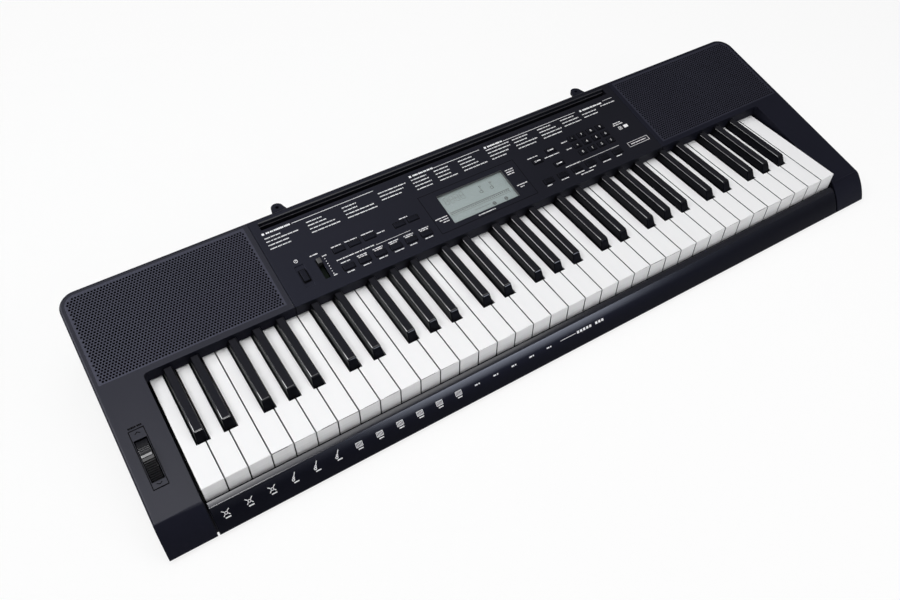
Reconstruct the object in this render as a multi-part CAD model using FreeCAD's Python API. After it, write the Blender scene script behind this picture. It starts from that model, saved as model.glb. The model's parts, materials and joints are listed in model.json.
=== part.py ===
import FreeCAD, Part
import math
import os

# Arranger keyboard with 61 keys: case, keys, panel and the works inside, one STEP file per piece.
# Millimetres. X runs along the keys, Y to the rear, Z up, origin on the table under the middle.

V = FreeCAD.Vector
X_AXIS, Y_AXIS, Z_AXIS = V(1, 0, 0), V(0, 1, 0), V(0, 0, 1)

# Keys
OCTAVES = 5
SINGLE_OCTAVE = 2          # the octave whose keys are single pieces, counted from 0
KEY_PITCH = 23.5           # a white key and its gap
KEY_GAP = 1.0
KEY_TOP = 52.0             # white key tops above the table
KEY_SKIRT = 14.0           # height of a key's sides
KEY_SKIN = 2.2             # wall of a hollow key
KEY_EDGE = 0.8             # rounding of a white key's front and sides
LIP_HEIGHT = 23.5          # front face of a white key
WHITE_SHOWN = 143.0        # white key from its front face to the panel
WHITE_HEAD = 47.0          # full-width part of a white key
WHITE_DIP = 10.0           # travel at the front
BLACK_LEAD = 1.3           # gap from a white key's shoulder to a black key's front
BLACK_BASE = 11.4
BLACK_TOP = 9.4
BLACK_RISE = 11.0          # black key above the white keys
BLACK_NOSE = 5.5           # slope of a black key's front
BLACK_CROWN = 3.0          # rounding from the nose to the top
BLACK_EDGE = 1.2
BLACK_DIP = 9.0
TAIL_WIDTH = 7.5           # hidden tail of every key
TAIL_HEIGHT = 14.0
TAIL_DROP = 4.0            # tail top below the white key tops
TAIL_BACK = 12.0           # tail behind the pivot
PIVOT_SETBACK = 24.0       # pivot behind the front edge of the panel
PIVOT_RADIUS = 1.5
PIVOT_CLEARANCE = 0.05
PLUNGER = 5.0              # side of the peg that works the contact
PLUNGER_REACH = 7.0        # peg below the key's sides
CONTACT_SETBACK = 34.0     # contacts in front of the panel's edge
CONTACT_RADIUS = 4.0

# Case
CHEEK_WIDTH = 47.5         # end block beside the key opening
OPEN_MARGIN = 2.5          # opening past the key field at each side
OPEN_CORNER = 4.0
WALL = 2.5
RAIL_DEPTH = 24.5          # front edge of the case to the key fronts
RAIL_GAP = 2.0             # groove between rail and end block
RAIL_CLEAR = 4.5           # rail to the key fronts
LEDGE_Z = 31.7             # top of the front rail at its rear edge
LEDGE_TILT = 20.0          # fall of the ledge to the front in degrees
PANEL_RUN = 123.0          # key opening to the rear wall
CREASE_LEAD = 1.0          # crease in front of the key fronts
CREASE_Z = 37.4
TOP_TILT = 11.7            # slope of the top in degrees
FRONT_BULGE = 2.8          # crown of the rounded front
CORNER_RADIUS = 20.0       # rear corners in plan
FRONT_CORNER = 3.0
EDGE_RADIUS = 3.0          # rounding of the top's rim
BOTTOM_CHAMFER = 3.0
PART_BREAK = 30.0          # level part of the parting line, from the front
PART_REAR = 58.0           # parting line at the rear wall
SEAM_MARGIN = 10.6         # seam of panel and end cover beyond the end of the music rest slot
SEAM_GAP = 0.5
KEY_CLEAR = 1.6            # panel wall above the white keys

# Feet, screws and posts
FOOT_HEIGHT = 2.0
FOOT_RADIUS = 7.0
FOOT_PEG = 2.5
FOOT_INSET = 28.0
SCREW_RADIUS = 1.4
SCREW_HEAD_RADIUS = 2.8
SCREW_HEAD = 1.0
SCREW_LENGTH = 12.0
POST_RADIUS = 4.0
FIT = 0.05                 # radial play of a fixed round fit
RUN = 0.3                  # play between pieces that move
END_POST_INSET = 12.0      # outer rail posts from the rail's ends, cover posts from the seam
POST_BITE = 0.8            # post let into the wall beside it
RAIL_POSTS = 5
PANEL_POST_INSET = 23.6     # outer panel posts from the seam
PANEL_POST_X = (-73.0, 165.0)
REAR_POST_INSET = 25.0

# Panel, measured along X from the LCD's border and up the slope from the key opening. A lead is
# the distance of the nearest button of a set from that border.
LCD_SIZE = (92.6, 43.2)
LCD_V = 39.2
LCD_BORDER = 5.0
WINDOW_THICK = 1.5
LCD_THICK = 7.0
BUTTON_RISE = 1.2
BUTTON_TRAVEL = 1.0
BUTTON_FLANGE = 1.0
BUTTON_SIZE = (13.0, 6.0)
DIGIT_SIZE = (9.5, 6.5)
FRONT_ROW_V = 20.0
REAR_ROW_V = 45.5
RHYTHM_LEAD, RHYTHM_PITCH = 32.2, 20.0
TOP_ROW_SHIFT, TOP_ROW_PITCH = 0.5, 19.5    # from the first rhythm button
TEMPO_LEAD, TEMPO_PITCH = 35.7, 18.0
LESSON_LEAD, LESSON_PITCH = 39.7, 21.6
DIGIT_STEP, DIGIT_PITCH_U = 36.5, 15.0      # from the last mode button
DIGIT_V, DIGIT_PITCH_V = 39.0, 12.3
MODE_LEADS = (44.7, 69.7, 67.7)
MODE_V = (52.0, 59.5, 37.0)
POWER_STEP, POWER_V = 21.8, 31.5            # from the volume slot
POWER_SIZE = (6.5, 15.0)
POWER_DISH = (10.5, 30.0)
POWER_DISH_DEPTH = 1.2
SLOT_STEP, SLOT_V = 26.7, 30.6              # from the first rhythm button
SLOT_SIZE = (6.4, 26.7)
SLIDER_SIZE = (5.0, 7.0)
SLIDER_RISE = 4.0
SLIDER_STEM = (2.5, 5.0)
BOARD_THICK = 1.6
PANEL_BOARD_DROP = 12.0    # board below the panel's face
SWITCH_RADIUS = 2.5
SWITCH_HEIGHT = 3.0
SWITCH_GAP = 0.3
POWER_INSET = 26.6         # power button from the left seam
DIGIT_INSET = 50.0         # least distance of the number pad from the right seam
REST_SLOT_WIDTH = 9.0      # slot for the music rest
REST_SLOT_DEPTH = 12.0
REST_SLOT_INSET = 13.2     # slot's middle to the rear wall

# Speakers and grilles
GRILLE_FRONT = 8.0         # window's front edge behind the key opening
GRILLE_RIM = 7.0           # window to the case's outer faces and to the seam
GRILLE_FLANGE = 4.0
GRILLE_STEP = 1.5
GRILLE_GAP = 0.1
SPEAKER_RADIUS = 44.0
SPEAKER_SHIFT = 3.8        # speaker's middle inward of the end cover's
SPEAKER_V = 72.0
SPEAKER_RIM = 5.0
HOLE_RADIUS = 1.2
HOLE_PITCH = 6.4

# Pitch wheel
WHEEL_U = -452.4
WHEEL_V = -87.0            # in front of the key opening's rear edge
WHEEL_RADIUS = 30.0
WHEEL_DEPTH = 22.0         # axle below the top face
WHEEL_WIDTH = 11.0
WHEEL_SLOT = (13.0, 47.0)
WHEEL_AXLE = 2.5
WHEEL_RIBS = 14
WHEEL_GROOVE = 0.75

# Rear sockets, boards and battery bay
MAIN_BOARD = (-58.0, 150.0)
MAIN_BOARD_DEPTH = 48.0
MAIN_BOARD_Z = 24.0
JACK_X = (20.0, 48.0)
JACK_BODY = (14.0, 24.0, 14.0)
JACK_BORE = 3.25
JACK_NOSE = 5.5
JACK_DEPTH = 22.0
DC_X = 125.0
DC_BODY = (11.0, 14.0, 11.0)
DC_BORE = 2.9
DC_NOSE = 4.2
DC_PIN = 1.0
DC_DEPTH = 9.0
USB_X = 85.0
USB_BODY = (12.0, 16.0, 11.0)
USB_CAVITY = (8.6, 9.0, 8.0)
BAY_X = -150.0
BAY_SIZE = (110.0, 48.0, 17.0)
BAY_WALL = 2.0
DOOR_TONGUE = 2.0
DOOR_LIP = 1.1
CONTACT_PLATE = 0.5
CELL_ROWS = 3

# Lugs at the rear
LUG_INSET = 41.6           # lugs from the seams
LUG_REACH = 16.5
LUG_TIP = 7.2
LUG_BASE = 20.0
LUG_THICK = 4.0
LUG_TOP = 88.0
LUG_HOLE = 2.25

# Chassis under the keys
CHASSIS_TOP = 20.5
CHASSIS_THICK = 2.5
CHASSIS_FRONT = 7.0        # chassis behind the key fronts
PILLAR = 2.5
FELT = 2.5
FELT_WIDTH = 8.0
WHITE_FELT = 17.0          # felt behind the key fronts
BLACK_FELT = 7.0           # felt behind the black key fronts
GUIDE_DEPTH = 4.0
GUIDE_ENTRY = 2.0          # guide inside a key at rest
LEG_COUNT = 7

# Worked out from the sizes above
KEY_COUNT = 7 * OCTAVES + 1
KEY_FIELD = KEY_PITCH * KEY_COUNT
OPEN_HALF = KEY_FIELD / 2 + OPEN_MARGIN
HALF_WIDTH = OPEN_HALF + CHEEK_WIDTH
DEPTH = RAIL_DEPTH + WHITE_SHOWN + PANEL_RUN + LUG_REACH
LCD_EDGE = LCD_SIZE[0] / 2 + LCD_BORDER
RHYTHM_X = -LCD_EDGE - RHYTHM_LEAD - 5 * RHYTHM_PITCH
TOP_ROW_X = RHYTHM_X + TOP_ROW_SHIFT
TEMPO_X = -LCD_EDGE - TEMPO_LEAD - TEMPO_PITCH
SLIDER_X = RHYTHM_X - SLOT_STEP
POWER_X = SLIDER_X - POWER_STEP
LESSON_X = LCD_EDGE + LESSON_LEAD
DIGIT_X = LCD_EDGE + max(MODE_LEADS) + DIGIT_STEP
SEAM_X = max(POWER_INSET - POWER_X, DIGIT_X + 3 * DIGIT_PITCH_U + DIGIT_INSET)
REST_SLOT_LENGTH = 2 * (SEAM_X - SEAM_MARGIN)
SPEAKER_X = (SEAM_X + HALF_WIDTH) / 2 - SPEAKER_SHIFT
Y_FRONT = -DEPTH / 2
Y_KEY = Y_FRONT + RAIL_DEPTH
Y_OPEN = Y_KEY + WHITE_SHOWN
Y_REAR = Y_OPEN + PANEL_RUN
Y_CREASE = Y_KEY - CREASE_LEAD
Y_SHOULDER = Y_KEY + WHITE_HEAD
Y_BLACK = Y_SHOULDER + BLACK_LEAD
Y_PIVOT = Y_OPEN + PIVOT_SETBACK
Y_CONTACT = Y_OPEN - CONTACT_SETBACK
Z_UNDER = FOOT_HEIGHT
Z_FLOOR = FOOT_HEIGHT + WALL
KEY_UNDER = KEY_TOP - KEY_SKIRT
TAIL_TOP = KEY_TOP - TAIL_DROP
TAIL_UNDER = TAIL_TOP - TAIL_HEIGHT
Z_PIVOT = TAIL_TOP - TAIL_HEIGHT / 2
PLUNGER_Z = KEY_UNDER - PLUNGER_REACH
WHITE_TURN = math.asin(WHITE_DIP / (Y_PIVOT - Y_KEY))
BLACK_TURN = math.asin(BLACK_DIP / (Y_PIVOT - Y_BLACK))
BOARD_TOP = CHASSIS_TOP + BOARD_THICK
PANEL_BOARD_TOP = -PANEL_BOARD_DROP
SWITCH_TOP = PANEL_BOARD_TOP + SWITCH_HEIGHT
Y_BOARD = Y_REAR - WALL - RUN
MAIN_BOARD_TOP = MAIN_BOARD_Z + BOARD_THICK
Y_BAY = Y_REAR - WALL - BAY_SIZE[1] / 2 - RUN
Z_BAY = Z_FLOOR + BAY_SIZE[2]
OCTAVE_PATTERN = "wbwbwwbwbwbw"
WHITES = [note for note, kind in enumerate(OCTAVE_PATTERN) if kind == "w"]
BLACKS = [note for note, kind in enumerate(OCTAVE_PATTERN) if kind == "b"]
NOTE_NAMES = ("c", "c_sharp", "d", "d_sharp", "e", "f", "f_sharp", "g", "g_sharp", "a", "a_sharp", "b")


def top_z(y):
    """Height of the sloped top face at y."""
    return CREASE_Z + (y - Y_CREASE) * math.tan(math.radians(TOP_TILT))


def box(x0, x1, y0, y1, z0, z1):
    return Part.makeBox(x1 - x0, y1 - y0, z1 - z0, V(x0, y0, z0))


def block(u, v, size, w0, w1):
    """Upright box of the given plan size about (u, v)."""
    return box(u - size[0] / 2, u + size[0] / 2, v - size[1] / 2, v + size[1] / 2, w0, w1)


def rod(radius, x, y, z0, z1):
    return Part.makeCylinder(radius, z1 - z0, V(x, y, z0), Z_AXIS)


def cross_rod(radius, x0, x1, y, z):
    return Part.makeCylinder(radius, x1 - x0, V(x0, y, z), X_AXIS)


def prism(points, direction):
    """Straight-sided solid: a closed outline of points pushed along direction."""
    return Part.Face(Part.makePolygon(points + [points[0]])).extrude(direction)


def turned(points, u, v):
    """Solid of revolution about the upright axis at (u, v); points are (radius, height)."""
    outline = [V(u + r, v, w) for r, w in points]
    return Part.Face(Part.makePolygon(outline + [outline[0]])).revolve(V(u, v, 0), Z_AXIS, 360)


def on_panel(shape):
    """Put a shape drawn on the panel, (across, up the slope, out of the face), in its place."""
    placed = shape.copy()
    placed.rotate(V(0, 0, 0), X_AXIS, TOP_TILT)
    placed.translate(V(0, Y_OPEN, top_z(Y_OPEN)))
    return placed


def joined(shapes):
    return shapes[0].fuse(shapes[1:]).removeSplitter()


def quarter(cx, cy, radius, start):
    """Quarter circle edge about (cx, cy), turning left from the angle start."""
    turns = [math.radians(start + t) for t in (0, 45, 90)]
    return Part.Arc(*[V(cx + radius * math.cos(t), cy + radius * math.sin(t), 0) for t in turns]).toShape()


def rounded_plate(half, y0, y1, r_front, r_rear, z0, z1):
    """Upright block with rounded corners in plan."""
    corners = ((half - r_front, y0 + r_front, r_front, -90), (half - r_rear, y1 - r_rear, r_rear, 0),
               (r_rear - half, y1 - r_rear, r_rear, 90), (r_front - half, y0 + r_front, r_front, 180))
    arcs = [quarter(*corner) for corner in corners]
    edges = []
    for arc, following in zip(arcs, arcs[1:] + arcs[:1]):
        edges += [arc, Part.LineSegment(arc.lastVertex().Point, following.firstVertex().Point).toShape()]
    face = Part.Face(Part.Wire(Part.__sortEdges__(edges)))
    face.translate(V(0, 0, z0))
    return face.extrude(V(0, 0, z1 - z0))


def case_section(x):
    """Closed outline of the case seen from the end."""
    foot = V(x, Y_FRONT, Z_FLOOR)
    crease = V(x, Y_CREASE, CREASE_Z)
    run = crease - foot
    outward = V(0, -run.z, run.y).normalize()
    crown = (foot + crease) * 0.5 + outward * FRONT_BULGE
    rear = V(x, Y_REAR, top_z(Y_REAR))
    corners = [crease, rear, V(x, Y_REAR, Z_UNDER + BOTTOM_CHAMFER), V(x, Y_REAR - BOTTOM_CHAMFER, Z_UNDER),
               V(x, Y_FRONT + WALL / 2, Z_UNDER), foot]
    edges = [Part.Arc(foot, crown, crease).toShape()]
    edges += [Part.LineSegment(a, b).toShape() for a, b in zip(corners, corners[1:])]
    return Part.Wire(edges)


def case_block(inset):
    """The case as one solid, drawn in by inset on every side."""
    x = -HALF_WIDTH - WALL
    section = case_section(x)
    if inset:
        section = section.makeOffset2D(-inset)
    length = Part.Face(section).extrude(V(2 * HALF_WIDTH + 2 * WALL, 0, 0))
    plan = rounded_plate(HALF_WIDTH - inset, Y_FRONT - WALL, Y_REAR - inset, FRONT_CORNER,
                         CORNER_RADIUS - inset, Z_UNDER - WALL, top_z(Y_REAR) + WALL)
    return length.common(plan)


def rim_edges(shape):
    """Edges round the sloped top, without the crease."""
    picked = []
    for edge in shape.Edges:
        ends = [v.Point for v in edge.Vertexes]
        on_top = all(abs(p.z - top_z(p.y)) < 1e-4 for p in ends)
        crease = all(abs(p.y - Y_CREASE) < 1e-4 for p in ends)
        if on_top and not crease:
            picked.append(edge)
    return picked


def parting_space():
    """All the space above the parting line of the case."""
    reach = HALF_WIDTH + WALL
    slope = (PART_REAR - Z_FLOOR) / (Y_REAR - Y_FRONT - PART_BREAK)
    high = top_z(Y_REAR) + LUG_REACH
    front, back = Y_FRONT - WALL, Y_REAR + LUG_REACH
    points = [V(-reach, front, Z_FLOOR), V(-reach, Y_FRONT + PART_BREAK, Z_FLOOR),
              V(-reach, back, PART_REAR + slope * LUG_REACH), V(-reach, back, high), V(-reach, front, high)]
    return prism(points, V(2 * reach, 0, 0))


def opening_space(grow):
    """Space over the keys, grown by a wall thickness."""
    return rounded_plate(OPEN_HALF + grow, Y_FRONT - CORNER_RADIUS, Y_OPEN + grow, WALL,
                         OPEN_CORNER + grow, Z_UNDER - WALL, top_z(Y_REAR) + WALL)


def key_collar(outer, upper_space):
    """Walls round the key opening, ending just above the keys at the rear."""
    collar = opening_space(WALL).cut(opening_space(0)).common(outer).common(upper_space)
    under = box(-OPEN_HALF, OPEN_HALF, Y_OPEN - OPEN_CORNER, Y_OPEN + 2 * WALL, 0, KEY_TOP + KEY_CLEAR)
    return collar.cut(under)


def end_post_places(side):
    """Screw posts of one end cover."""
    inset = WALL + POST_RADIUS - POST_BITE
    x = side * (HALF_WIDTH - inset)
    inner = side * (SEAM_X + END_POST_INSET)
    front = Y_CREASE + 2 * END_POST_INSET
    return [(x, front), (x, Y_OPEN), (x, Y_REAR - REAR_POST_INSET), (inner, Y_REAR - inset)]


def panel_post_places():
    outer = SEAM_X - PANEL_POST_INSET
    return [(x, Y_REAR - REAR_POST_INSET) for x in (-outer, *PANEL_POST_X, outer)]


def rail_post_places():
    half = OPEN_HALF - RAIL_GAP - END_POST_INSET
    y = Y_KEY - RAIL_CLEAR - WALL - POST_RADIUS / 2
    return [(half * (2 * i / (RAIL_POSTS - 1) - 1), y) for i in range(RAIL_POSTS)]


def screw_places():
    return end_post_places(-1) + end_post_places(1) + panel_post_places() + rail_post_places()


def post_space(upper_space):
    """Where screw posts may stand: into the walls of the upper case, clear of the lower case's walls."""
    inset = WALL + RUN
    clear = rounded_plate(HALF_WIDTH - inset, Y_FRONT - WALL, Y_REAR - inset, FRONT_CORNER,
                          CORNER_RADIUS - inset, Z_FLOOR, PART_REAR + WALL)
    return case_block(WALL / 2).common(upper_space).fuse(case_block(WALL).common(clear))


def post(core, x, y):
    """Screw post from the floor up into the wall above, with its pilot hole."""
    pillar = rod(POST_RADIUS, x, y, Z_FLOOR, top_z(Y_REAR)).common(core)
    return pillar.cut(rod(SCREW_RADIUS + FIT, x, y, 0, Z_FLOOR + SCREW_LENGTH))


def case_screws():
    """Screws driven from below, heads sunk in the floor."""
    screws = []
    seat = Z_UNDER + WALL / 2
    for x, y in screw_places():
        head = rod(SCREW_HEAD_RADIUS, x, y, seat - SCREW_HEAD, seat)
        screws.append(head.fuse(rod(SCREW_RADIUS, x, y, seat, Z_FLOOR + SCREW_LENGTH - WALL)))
    return screws


def foot_places():
    x = HALF_WIDTH - FOOT_INSET
    rows = (Y_FRONT + FOOT_INSET, Y_REAR - FOOT_INSET)
    return [(u, y) for u in (-x, 0, x) for y in rows]


def rubber_feet():
    """Round feet with a peg through the floor."""
    feet = []
    for x, y in foot_places():
        peg = rod(FOOT_PEG, x, y, Z_UNDER, Z_FLOOR)
        feet.append(rod(FOOT_RADIUS, x, y, 0, Z_UNDER).fuse(peg))
    return feet


def panel_boxes(places, size, w0, w1, grow=0.0):
    return [block(u, v, (size[0] + 2 * grow, size[1] + 2 * grow), w0, w1) for u, v in places]


def button_sets():
    """Names of the moulded button sets with their places and sizes."""
    rear = [(TOP_ROW_X + i * TOP_ROW_PITCH, REAR_ROW_V) for i in range(3)]
    rear += [(TEMPO_X + i * TEMPO_PITCH, REAR_ROW_V) for i in range(2)]
    rhythm = [(RHYTHM_X + i * RHYTHM_PITCH, FRONT_ROW_V) for i in range(6)]
    lesson = [(LESSON_X + i * LESSON_PITCH, FRONT_ROW_V) for i in range(6)]
    mode = [(LCD_EDGE + lead, v) for lead, v in zip(MODE_LEADS, MODE_V)]
    digits = [(DIGIT_X + i * DIGIT_PITCH_U, DIGIT_V + j * DIGIT_PITCH_V) for i in range(4) for j in range(3)]
    return {"rear_row_buttons": (rear, BUTTON_SIZE), "rhythm_buttons": (rhythm, BUTTON_SIZE),
            "lesson_buttons": (lesson, BUTTON_SIZE), "mode_buttons": (mode, BUTTON_SIZE),
            "number_buttons": (digits, DIGIT_SIZE), "power_button": ([(POWER_X, POWER_V)], POWER_SIZE)}


def button(u, v, size):
    """Cap through the panel, flange under it and a stem over its switch."""
    flange_top = -WALL - RUN
    flange_size = (size[0] + 2 * BUTTON_FLANGE, size[1] + 2 * BUTTON_FLANGE)
    flange = block(u, v, flange_size, flange_top - BUTTON_FLANGE, flange_top)
    cap = block(u, v, size, flange_top, BUTTON_RISE)
    rim = [e for e in cap.Edges if all(abs(p.Point.z - BUTTON_RISE) < 1e-4 for p in e.Vertexes)]
    cap = cap.makeFillet(BUTTON_RISE / 2, rim)
    stem = rod(SWITCH_RADIUS, u, v, SWITCH_TOP + BUTTON_TRAVEL + SWITCH_GAP, flange_top - BUTTON_FLANGE)
    return on_panel(joined([cap, flange, stem]))


def panel_cuts():
    """Holes through the panel for the buttons, the LCD, the slider and the power button."""
    cuts = []
    for places, size in button_sets().values():
        cuts += panel_boxes(places, size, -2 * WALL, WALL, RUN)
    cuts.append(block(0, LCD_V, LCD_SIZE, -2 * WALL, WALL))
    cuts.append(block(SLIDER_X, SLOT_V, SLOT_SIZE, -2 * WALL, WALL))
    cuts.append(block(POWER_X, POWER_V, POWER_DISH, -POWER_DISH_DEPTH, WALL))
    return [on_panel(cut) for cut in cuts]


def board_area():
    """Left, right, front and rear edges of the panel board, on the panel."""
    margin = 2 * POST_RADIUS
    left = POWER_X - POWER_SIZE[0] / 2 - margin
    right = max(DIGIT_X + 3 * DIGIT_PITCH_U, LESSON_X + 5 * LESSON_PITCH) + BUTTON_SIZE[0] / 2 + margin
    front = FRONT_ROW_V - BUTTON_SIZE[1] / 2 - POST_RADIUS
    rear = DIGIT_V + 2 * DIGIT_PITCH_V + DIGIT_SIZE[1] / 2 + margin
    return left, right, front, rear


def board_bosses():
    """Pegs under the panel that carry the panel board."""
    left, right, front, rear = board_area()
    low = front + POST_RADIUS
    high = rear - POST_RADIUS
    inner = LCD_SIZE[0] / 2 + LCD_BORDER + 2 * POST_RADIUS
    places = [(left + POST_RADIUS, low), (left + POST_RADIUS, high), (right - POST_RADIUS, high),
              (right - POST_RADIUS, low), (-inner, high), (inner, high), (-inner, low), (inner, low)]
    return [rod(POST_RADIUS / 2, u, v, PANEL_BOARD_TOP, -WALL / 2) for u, v in places]


def rest_slot(grow, floor, top):
    """Upright slot space for the music rest."""
    y = Y_REAR - REST_SLOT_INSET
    half = REST_SLOT_LENGTH / 2 + grow
    wide = REST_SLOT_WIDTH / 2 + grow
    return box(-half, half, y - wide, y + wide, floor, top)


def control_panel(top_shell, core):
    """Centre of the top with all its holes, the music rest trough and the posts."""
    half = SEAM_X - SEAM_GAP / 2
    panel = top_shell.common(box(-half, half, Y_OPEN, Y_REAR + WALL, 0, 2 * CREASE_Z + Y_REAR))
    slot_floor = top_z(Y_REAR - REST_SLOT_INSET) - REST_SLOT_DEPTH
    trough = rest_slot(WALL / 2, slot_floor - WALL, top_z(Y_REAR)).common(core)
    pieces = [panel, trough] + [post(core, x, y) for x, y in panel_post_places()]
    pieces += [on_panel(boss) for boss in board_bosses()]
    return joined(pieces).cut(panel_cuts() + [rest_slot(0, slot_floor, top_z(Y_REAR) + WALL)])


def grille_space(side, grow, w0, w1):
    """Layer of the panel over one speaker, round the window's outline grown by grow."""
    inset = GRILLE_RIM - grow
    low, high = sorted((side * (SEAM_X + inset), side * HALF_WIDTH))
    layer = on_panel(box(low, high, GRILLE_FRONT - grow, PANEL_RUN + LUG_REACH, w0, w1))
    return layer.common(rounded_plate(HALF_WIDTH - inset, Y_FRONT, Y_REAR - inset, FRONT_CORNER,
                                      CORNER_RADIUS - inset, 0, top_z(Y_REAR) + WALL))


def end_cover(side, top_shell, core):
    """End block with its cheek, screw posts and the window for the grille."""
    low, high = sorted((side * (SEAM_X + SEAM_GAP / 2), side * (HALF_WIDTH + WALL)))
    cover = top_shell.common(box(low, high, Y_FRONT - WALL, Y_REAR + WALL, 0, 2 * CREASE_Z + Y_REAR))
    cover = joined([cover] + [post(core, x, y) for x, y in end_post_places(side)])
    cuts = [grille_space(side, 0, -WALL, WALL)]
    cuts.append(grille_space(side, GRILLE_FLANGE + GRILLE_GAP, -WALL - GRILLE_STEP - GRILLE_GAP, -WALL))
    if side < 0:
        cuts.append(on_panel(block(WHEEL_U, WHEEL_V, WHEEL_SLOT, -2 * WALL, WALL)))
    return cover.cut(cuts)


def speaker_holes(u, v):
    """Staggered through holes over the driver."""
    reach = SPEAKER_RADIUS - SPEAKER_RIM - HOLE_PITCH / 2
    row = HOLE_PITCH * math.sqrt(3) / 2
    count = int(reach / row) + 1
    holes = []
    for j in range(-count, count + 1):
        for i in range(-count - 1, count + 2):
            x = (i + 0.5 * (j % 2)) * HOLE_PITCH
            y = j * row
            if math.hypot(x, y) < reach:
                holes.append(rod(HOLE_RADIUS, u + x, v + y, -WALL, 0))
    return [on_panel(hole) for hole in holes]


def speaker_grille(side):
    """Perforated plate set flush in the cover from below, with a ring for the speaker."""
    under = -WALL - GRILLE_STEP
    plate = grille_space(side, -GRILLE_GAP, -WALL, 0)
    flange = grille_space(side, GRILLE_FLANGE, under, -WALL)
    flange = flange.cut(grille_space(side, -GRILLE_FLANGE, under, -WALL))
    ring = rod(SPEAKER_RADIUS, side * SPEAKER_X, SPEAKER_V, under, -WALL)
    ring = on_panel(ring.cut(rod(SPEAKER_RADIUS - SPEAKER_RIM, side * SPEAKER_X, SPEAKER_V, under, -WALL)))
    return plate.fuse([flange, ring]).cut(speaker_holes(side * SPEAKER_X, SPEAKER_V))


def speaker_levels():
    """Rim top, cup bottom and magnet bottom of a speaker, out of the panel face."""
    rim = -WALL - GRILLE_STEP
    cup = rim - SPEAKER_RADIUS / 2
    return rim, cup, cup - SPEAKER_RADIUS / 3


def speaker_frame(side):
    """Pressed basket with its rim under the grille's ring."""
    rim, cup, _ = speaker_levels()
    wide, cone, neck = SPEAKER_RADIUS, SPEAKER_RADIUS - SPEAKER_RIM, SPEAKER_RADIUS / 2
    thick = WALL / 2
    points = [(cone, rim), (wide, rim), (wide, rim - thick), (cone + thick, rim - thick), (neck + thick, cup),
              (neck / 2, cup), (neck / 2, cup + thick), (neck, cup + thick), (cone, rim - 2 * thick)]
    return on_panel(turned(points, side * SPEAKER_X, SPEAKER_V))


def speaker_cone(side):
    """Paper cone with its surround and dust cap."""
    rim, cup, _ = speaker_levels()
    edge = SPEAKER_RADIUS - SPEAKER_RIM - FIT
    roll, coil = edge - SPEAKER_RIM, SPEAKER_RADIUS / 4
    deep = cup + SPEAKER_RIM
    top = rim - FIT
    thick = WALL / 3
    points = [(0, deep + coil / 2), (coil * 0.7, deep + coil / 3), (coil, deep), (roll, top), (edge, top),
              (edge, top - thick), (roll, top - thick), (coil, deep - 2 * thick),
              (coil * 0.7, deep + coil / 3 - thick), (0, deep + coil / 2 - thick)]
    return on_panel(turned(points, side * SPEAKER_X, SPEAKER_V))


def speaker_magnet(side):
    """Magnet on the back of the basket, with its pole through the basket's hole."""
    _, cup, low = speaker_levels()
    x = side * SPEAKER_X
    pole = rod(SPEAKER_RADIUS / 4 - WALL, x, SPEAKER_V, cup, cup + WALL)
    return on_panel(rod(SPEAKER_RADIUS / 2, x, SPEAKER_V, low, cup).fuse(pole))


def rail_space(half, back, low, drop):
    """Room in front of a wall, below the rail's sloping ledge or a level that lies under it by the drop."""
    fall = math.tan(math.radians(LEDGE_TILT))
    front = Y_FRONT - WALL
    levels = [LEDGE_Z - drop - (Y_KEY - RAIL_CLEAR - y) * fall for y in (back, front)]
    return prism([V(-half, front, low), V(-half, back, low), V(-half, back, levels[0]),
                  V(-half, front, levels[1])], V(2 * half, 0, 0))


def front_rail(outer, core):
    """Channel along the front: rounded face, sloping ledge below the keys and a rear wall."""
    half = OPEN_HALF - RAIL_GAP
    back = Y_KEY - RAIL_CLEAR
    rail = outer.common(rail_space(half, back, Z_FLOOR, 0))
    hollow = case_block(WALL).common(rail_space(half + WALL, back - WALL, 0, WALL))
    inner = rail_space(half, back - WALL / 2, 0, WALL / 2)
    posts = [post(core, x, y).common(inner) for x, y in rail_post_places()]
    return joined([rail.cut(hollow)] + posts)


def bay_area(grow):
    half = BAY_SIZE[0] / 2 + grow
    deep = BAY_SIZE[1] / 2 + grow
    return BAY_X - half, BAY_X + half, Y_BAY - deep, Y_BAY + deep


def door_plate(grow, tongue):
    """Plan limits of the battery door, or of its tongues, running out through the rear wall."""
    x0, x1, y0, _ = bay_area(BAY_WALL + tongue + grow)
    return x0, x1, y0 + tongue, Y_REAR + grow


def battery_door(outer):
    """Sliding door with a tongue along each side."""
    top = Z_FLOOR - RUN
    plate = box(*door_plate(-RUN, 0), Z_UNDER, top)
    tongues = box(*door_plate(-RUN, DOOR_TONGUE), Z_UNDER + DOOR_LIP + RUN, top)
    reach = box(*door_plate(WALL, DOOR_TONGUE), 0, Z_FLOOR)
    tongues = tongues.cut(box(*door_plate(-RUN, 0), 0, Z_FLOOR))
    return plate.fuse(tongues).removeSplitter().common(outer.common(reach))


def battery_bay():
    """Walls and roof of the battery bay, with the rails over the door's tongues."""
    x0, x1, y0, _ = bay_area(2 * BAY_WALL + DOOR_TONGUE)
    rails = box(x0, x1, y0, Y_REAR - WALL / 2, Z_UNDER, Z_FLOOR + BAY_WALL)
    x0, x1, y0, _ = bay_area(BAY_WALL)
    return [rails, box(x0, x1, y0, Y_REAR - WALL / 2, Z_UNDER, Z_BAY + BAY_WALL)]


def battery_cuts():
    """Bay, door opening and the grooves for the door's tongues."""
    bay = box(*bay_area(0), 0, Z_BAY)
    door = box(*door_plate(0, 0), 0, Z_FLOOR)
    groove = box(*door_plate(0, DOOR_TONGUE), Z_UNDER + DOOR_LIP, Z_FLOOR)
    return [bay, door, groove]


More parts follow.
